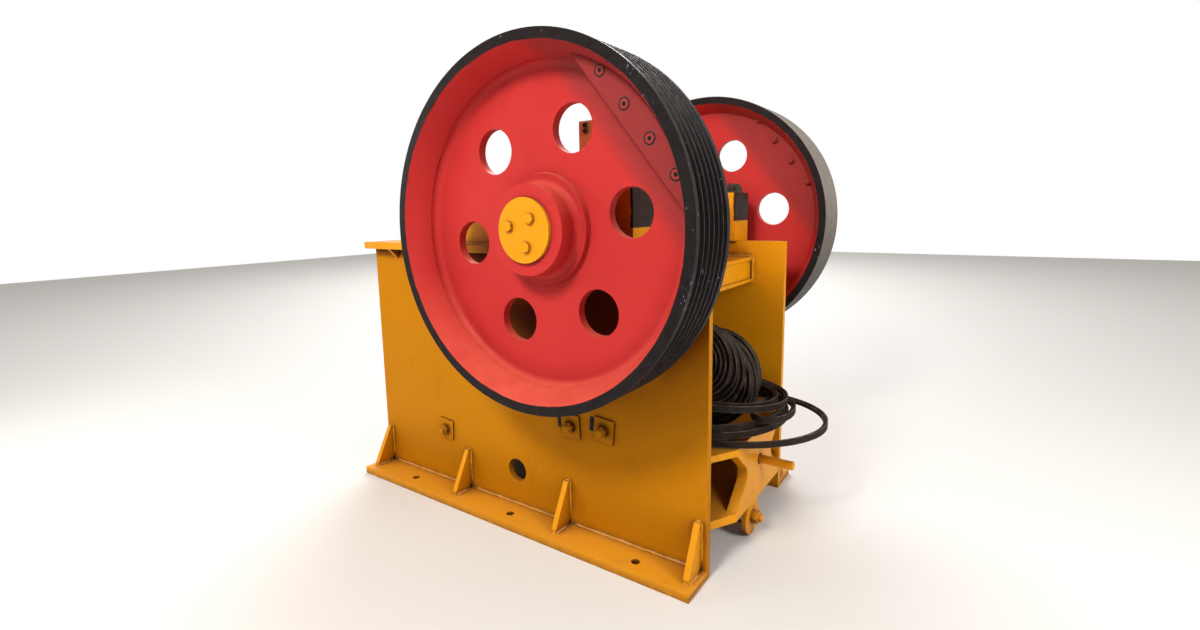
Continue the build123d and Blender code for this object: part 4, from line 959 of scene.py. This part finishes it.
def hub_cap_bolts(bm):
    """Three bolts in each hub cap, unevenly placed as in the photograph."""
    for side in SIDES.values():
        for dx, dz in HUB_BOLT_OFFSETS:
            spot = (SHAFT.x + dx, side * (HUB_FACE_Y + HUB_CAP_T), SHAFT.z + dz)
            fasten(bm, turned(spot, (0, side, 0)), HUB_BOLT)


def ring_bolt_places(y):
    """Side and point of every bolt along the counterweights' chords, y out from the middle."""
    out = Vector((math.cos(WEIGHT_ANGLE), 0, math.sin(WEIGHT_ANGLE)))
    along = Vector((-math.sin(WEIGHT_ANGLE), 0, math.cos(WEIGHT_ANGLE)))
    for name, side in SIDES.items():
        for offset in RING_BOLT_OFFSETS:
            spot = SHAFT + out * RING_BOLT_CHORD + along * (offset + RING_BOLT_SHIFT[name])
            yield side, (spot.x, side * y, spot.z)


def recessed_bolts(bm):
    """Red faces of the bolts that sit in counterbores of the counterweights."""
    for side, spot in ring_bolt_places(WEIGHT_FACE_Y):
        washer(bm, turned(spot, (0, side, 0)), *RING_BOLT_FACE)


def counterbore_shadows(bm):
    """Painted shade: a near-black ring in the gap of each counterbore and a near-black disc on the end of the
    bolt in it.
    """
    for side, spot in ring_bolt_places(WEIGHT_FACE_Y):
        matrix = facing(spot, (0, side, 0))
        washer(bm, matrix, *COUNTERBORE_RING)
        washer(bm, matrix, *COUNTERBORE_END)


def ring_nuts(bm):
    """Nuts of the same bolts, on the inner side of the webs."""
    for side, spot in ring_bolt_places(WEB_INNER_Y):
        fasten(bm, turned(spot, (0, -side, 0)), RING_NUT)


def liner_washers(bm):
    """Square washers of the liner bolts on both side plates, each a little askew."""
    for side in SIDES.values():
        for x, z, tilt in LINER_BOLT_PLACES:
            matrix = facing((x, side * PLATE_OUT, z), (0, side, 0), math.radians(tilt * side))
            plate_block(bm, matrix, *LINER_WASHER)


def liner_slot_shadows(bm):
    """Painted shade: near-black pads where the ends of the bolt slots show beside the two rear washers."""
    for side in SIDES.values():
        for x, z, tilt in LINER_BOLT_PLACES[1:]:
            spot = (x - LINER_WASHER[0] / 2 - LINER_SLOT_OUT, side * PLATE_OUT, z + LINER_SLOT_UP)
            matrix = facing(spot, (0, side, 0), math.radians(tilt * side))
            plate_block(bm, matrix, *LINER_SLOT, edge=0.3)


def liner_bolts(bm):
    """Bolts through the square washers."""
    for side in SIDES.values():
        for x, z, tilt in LINER_BOLT_PLACES:
            matrix = turned((x, side * PLATE_OUT, z), (0, side, 0))
            fasten(bm, matrix, LINER_BOLT, seat=LINER_WASHER[2])


def cap_bolts(bm):
    """Studs with nuts that hold the bearing caps down."""
    for side in SIDES.values():
        for sign in (-1, 1):
            for across in (-1, 1):
                x = SHAFT.x + sign * CAP_BOLT_REACH
                y = side * HOUSING_MIDDLE_Y + across * CAP_BOLT_ACROSS
                fasten(bm, turned((x, y, CAP_LUG_TOP), (0, 0, 1)), CAP_NUT)


def post_bolts(bm):
    """Two bolts near the top of the guard post."""
    for drop in POST_BOLT_DROPS:
        spot = (POST_BOLT_X, -HOUSING_MIDDLE_Y - POST_T / 2, POST_TOP - drop)
        fasten(bm, turned(spot, (0, -1, 0)), POST_BOLT)


def wall_bolts(bm):
    """Nuts on the outside of the front wall that hold the fixed jaw plate."""
    for y in WALL_BOLT_ACROSS:
        for z in WALL_BOLT_LEVELS:
            fasten(bm, turned((WALL_FACE_X - WALL_T, y, z), (-1, 0, 0)), WALL_NUT)


# Stowed drive belts

COIL_SEGMENTS = 88
COIL_WOBBLE = 1.2
COIL_LEAN = (0.01, 0.05)
COIL_SLIP = (-2.5, 0.5)
SLIP_PER_WRAP = 1.5
FLAT_SEGMENTS = 120
FLAT_WOBBLE = 0.008
HEAP_SWAY = 1.5
SHELF_GAP = 1.0

# Corners of a belt's section as (across, outward)
BELT_SECTION = ((-5.6, 0), (5.6, 0), (10.8, 11.6), (10.2, 13.6), (-10.2, 13.6), (-10.8, 11.6))


def belt(bm, middle, segments):
    """Closed V-belt; middle(turn) gives its inner line's point, the way outward and the way across."""
    rings = []
    for i in range(segments):
        point, outward, across = middle(2 * math.pi * i / segments)
        rings.append([point + (across * side + outward * depth) * MM for side, depth in BELT_SECTION])
    tube(bm, rings, closed=True)


def wobble(turn, waves, size):
    """Slow irregularity of a loose ring."""
    return size * sum(math.sin(order * turn + phase) / order for order, phase in waves)


def random_waves():
    """Orders and phases of a ring's irregularity."""
    return [(order, rng.uniform(0, 2 * math.pi)) for order in (2, 3, 4)]


def coil_belts(bm):
    """Wound belts stood on edge, the inner turns of each hoop slipped a little towards the drive side."""
    for i, (dx, radius, lift, wraps) in enumerate(COIL_HOOPS):
        y = COIL_START_Y + (i + 0.5) * BELT_WIDTH
        centre_z = SHELF_TOP + SHELF_GAP + lift + radius
        lean = rng.uniform(*COIL_LEAN)
        waves = random_waves()
        for wrap in range(wraps):
            inner = radius - (wrap + 1) * BELT_T
            slip = rng.uniform(*COIL_SLIP) - SLIP_PER_WRAP * wrap

            def middle(turn):
                size = inner + wobble(turn, waves, COIL_WOBBLE)
                outward = Vector((math.cos(turn), 0, math.sin(turn)))
                sway = -lean * size * (1 + math.sin(turn)) + slip
                place = at(COIL_X + dx, y + sway, centre_z) + outward * size * MM
                return place, outward, Vector((0, 1, 0))

            belt(bm, middle, COIL_SEGMENTS)


def flat_belt(bm, centre, half_x, half_y, level, waves, lift, yaw=0.0):
    """A belt lying on its side, its wide face outward; lift(turn) raises it off its level."""
    spin = Matrix.Rotation(yaw, 3, "Z")

    def middle(turn):
        swell = 1 + wobble(turn, waves, FLAT_WOBBLE)
        outward = spin @ Vector((math.cos(turn) / half_x, math.sin(turn) / half_y, 0)).normalized()
        reach = spin @ Vector((half_x * swell * math.cos(turn), half_y * swell * math.sin(turn), 0))
        z = level + BELT_WIDTH / 2 + lift(turn)
        return at(centre[0] + reach.x, centre[1] + reach.y, z), outward, Vector((0, 0, 1))

    belt(bm, middle, FLAT_SEGMENTS)


def heap_belts(bm):
    """Belts thrown down on one another round the coil, the top one standing up off the rest towards -Y."""
    lowest = SHELF_TOP + BELT_WIDTH + 2 * BELT_GAP
    top = max(loop[-1] for loop in HEAP_LOOPS)
    for dx, y, half_x, half_y, level in HEAP_LOOPS:
        waves = random_waves()
        phase = rng.uniform(0, 2 * math.pi)
        rise = TOP_LOOP_LIFT if level == top else 0.0

        def lift(turn):
            sway = HEAP_SWAY * (1 + math.sin(turn + phase))
            return sway + rise * max(0.0, -math.sin(turn)) ** 2

        centre = (COIL_X + dx, y)
        flat_belt(bm, centre, half_x - BELT_T, half_y - BELT_T, lowest + level * BELT_WIDTH, waves, lift)


def loose_belt(bm):
    """The longest belt, reaching out over the edge of the shelf."""
    half_x = LOOP_HALF_LENGTH - BELT_T
    half_y = LOOP_HALF_WIDTH - BELT_T
    level = SHELF_TOP + SHELF_GAP
    flat_belt(bm, (LOOP_X, LOOP_Y), half_x, half_y, level, random_waves(), lambda turn: 0.0, LOOP_TURN)


# Finishes and pieces

yellow = yellow_paint()
weld = yellow_paint("weld_paint", dusty=0.85)
# Painted shade: the near side plate, its washers and bolts take a darker copy of the yellow and a wide
# painted shade under the flywheel.
shaded_plate_yellow = yellow_paint(
    "shaded_plate_paint",
    light=SHADED_PLATE_YELLOW,
    deep=SHADED_PLATE_DEEP,
    painted_shade_reach=PLATE_PAINTED_SHADE,
    shade=PLATE_SHADE,
    painted_shade_above=PLATE_PAINTED_SHADE_ABOVE,
    gloss=0.03,
)
# Painted light: the guard post takes a brighter copy of the yellow and almost no painted shade.
lit_post_yellow = yellow_paint("lit_post_paint", light=LIT_POST_YELLOW, deep=LIT_POST_YELLOW, painted_shade_reach=POST_PAINTED_SHADE)
housing_yellow = bearing_paint()
# Painted shade: the counterweights take a darker copy of the wheel red.
shaded_weight_red = wheel_paint("shaded_weight_paint", rim_is_bare=False, light=SHADED_WEIGHT_RED, deep=SHADED_WEIGHT_DEEP)
wheel_grooved = wheel_paint("wheel_paint", rim_is_bare=False)
wheel_plain = wheel_paint("bare_rim_wheel_paint", rim_is_bare=True)
jaw_steel = worn_steel("jaw_steel", JAW_DARK, JAW_LIGHT, grain_scale=90.0, depth=0.0015)
dark_steel = worn_steel("dark_steel", STEEL_DARK, STEEL_LIGHT)
greasy_steel = worn_steel("greasy_steel", GREASE_DARK, GREASE_LIGHT, metallic=0.2)
# Painted shade: near-black for pieces set where there are only shaded holes and gaps.
shadow_black = worn_steel("shadow_black", SHADOW_BLACK_DARK, SHADOW_BLACK_LIGHT, metallic=0.0)
rubber = belt_rubber()

FINISHES = {
    "frame_paint": yellow,
    "bearing_paint": housing_yellow,
    "wheel_red": wheel_grooved,
    "jaw_steel": jaw_steel,
    "dark_steel": dark_steel,
    "belt_rubber": rubber,
}
OTHER_FINISHES = {
    "flywheel_plain": wheel_plain,
    "side_plate_near": shaded_plate_yellow,
    "guard_post": lit_post_yellow,
    "counterweight_near": shaded_weight_red,
    "counterweight_far": shaded_weight_red,
    "hub_cap_near": yellow,
    "hub_cap_far": yellow,
    "adjusting_rod": yellow,
    "tension_rod": yellow,
    "spring_disc": yellow,
}


def dress_nodes():
    """Gives every CAD node the finish of its record slot, or its own."""
    slots = {row["node"]: row["material_slot"] for row in frame["record"]["subparts"]}
    for name, obj in frame["nodes"].items():
        finish = OTHER_FINISHES.get(name, FINISHES[slots[name]])
        obj.data.materials.clear()
        obj.data.materials.append(finish)


photo_camera()
studio()
dress_nodes()

piece("weld_beads", weld_beads, weld, "frame")
smooth(piece("liner_washers", liner_washers, shaded_plate_yellow, "frame"))
smooth(piece("liner_bolts", liner_bolts, shaded_plate_yellow, "frame"))
piece("liner_slot_shadows", liner_slot_shadows, shadow_black, "frame")
piece("gusset_clip_shadow_pads", gusset_clip_shadows, shadow_black, "frame")
smooth(piece("bearing_cap_nuts", cap_bolts, greasy_steel, "frame"))
smooth(piece("post_bolts", post_bolts, dark_steel, "frame"))
smooth(piece("front_wall_nuts", wall_bolts, yellow, "frame"))
smooth(piece("hub_cap_bolts", hub_cap_bolts, yellow, "rotor"))
smooth(piece("counterbore_shadows", counterbore_shadows, shadow_black, "rotor"))
smooth(piece("recessed_bolts", recessed_bolts, wheel_grooved, "rotor"))
smooth(piece("counterweight_nuts", ring_nuts, wheel_grooved, "rotor"))

coil = smooth(piece("belts_on_edge", coil_belts, rubber, "frame"))
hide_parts("belt_coil")
heap = smooth(piece("belts_lying", heap_belts, rubber, "frame"))
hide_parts("belt_heap")
longest = smooth(piece("longest_belt", loose_belt, rubber, "frame"))
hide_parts("belt_loop")
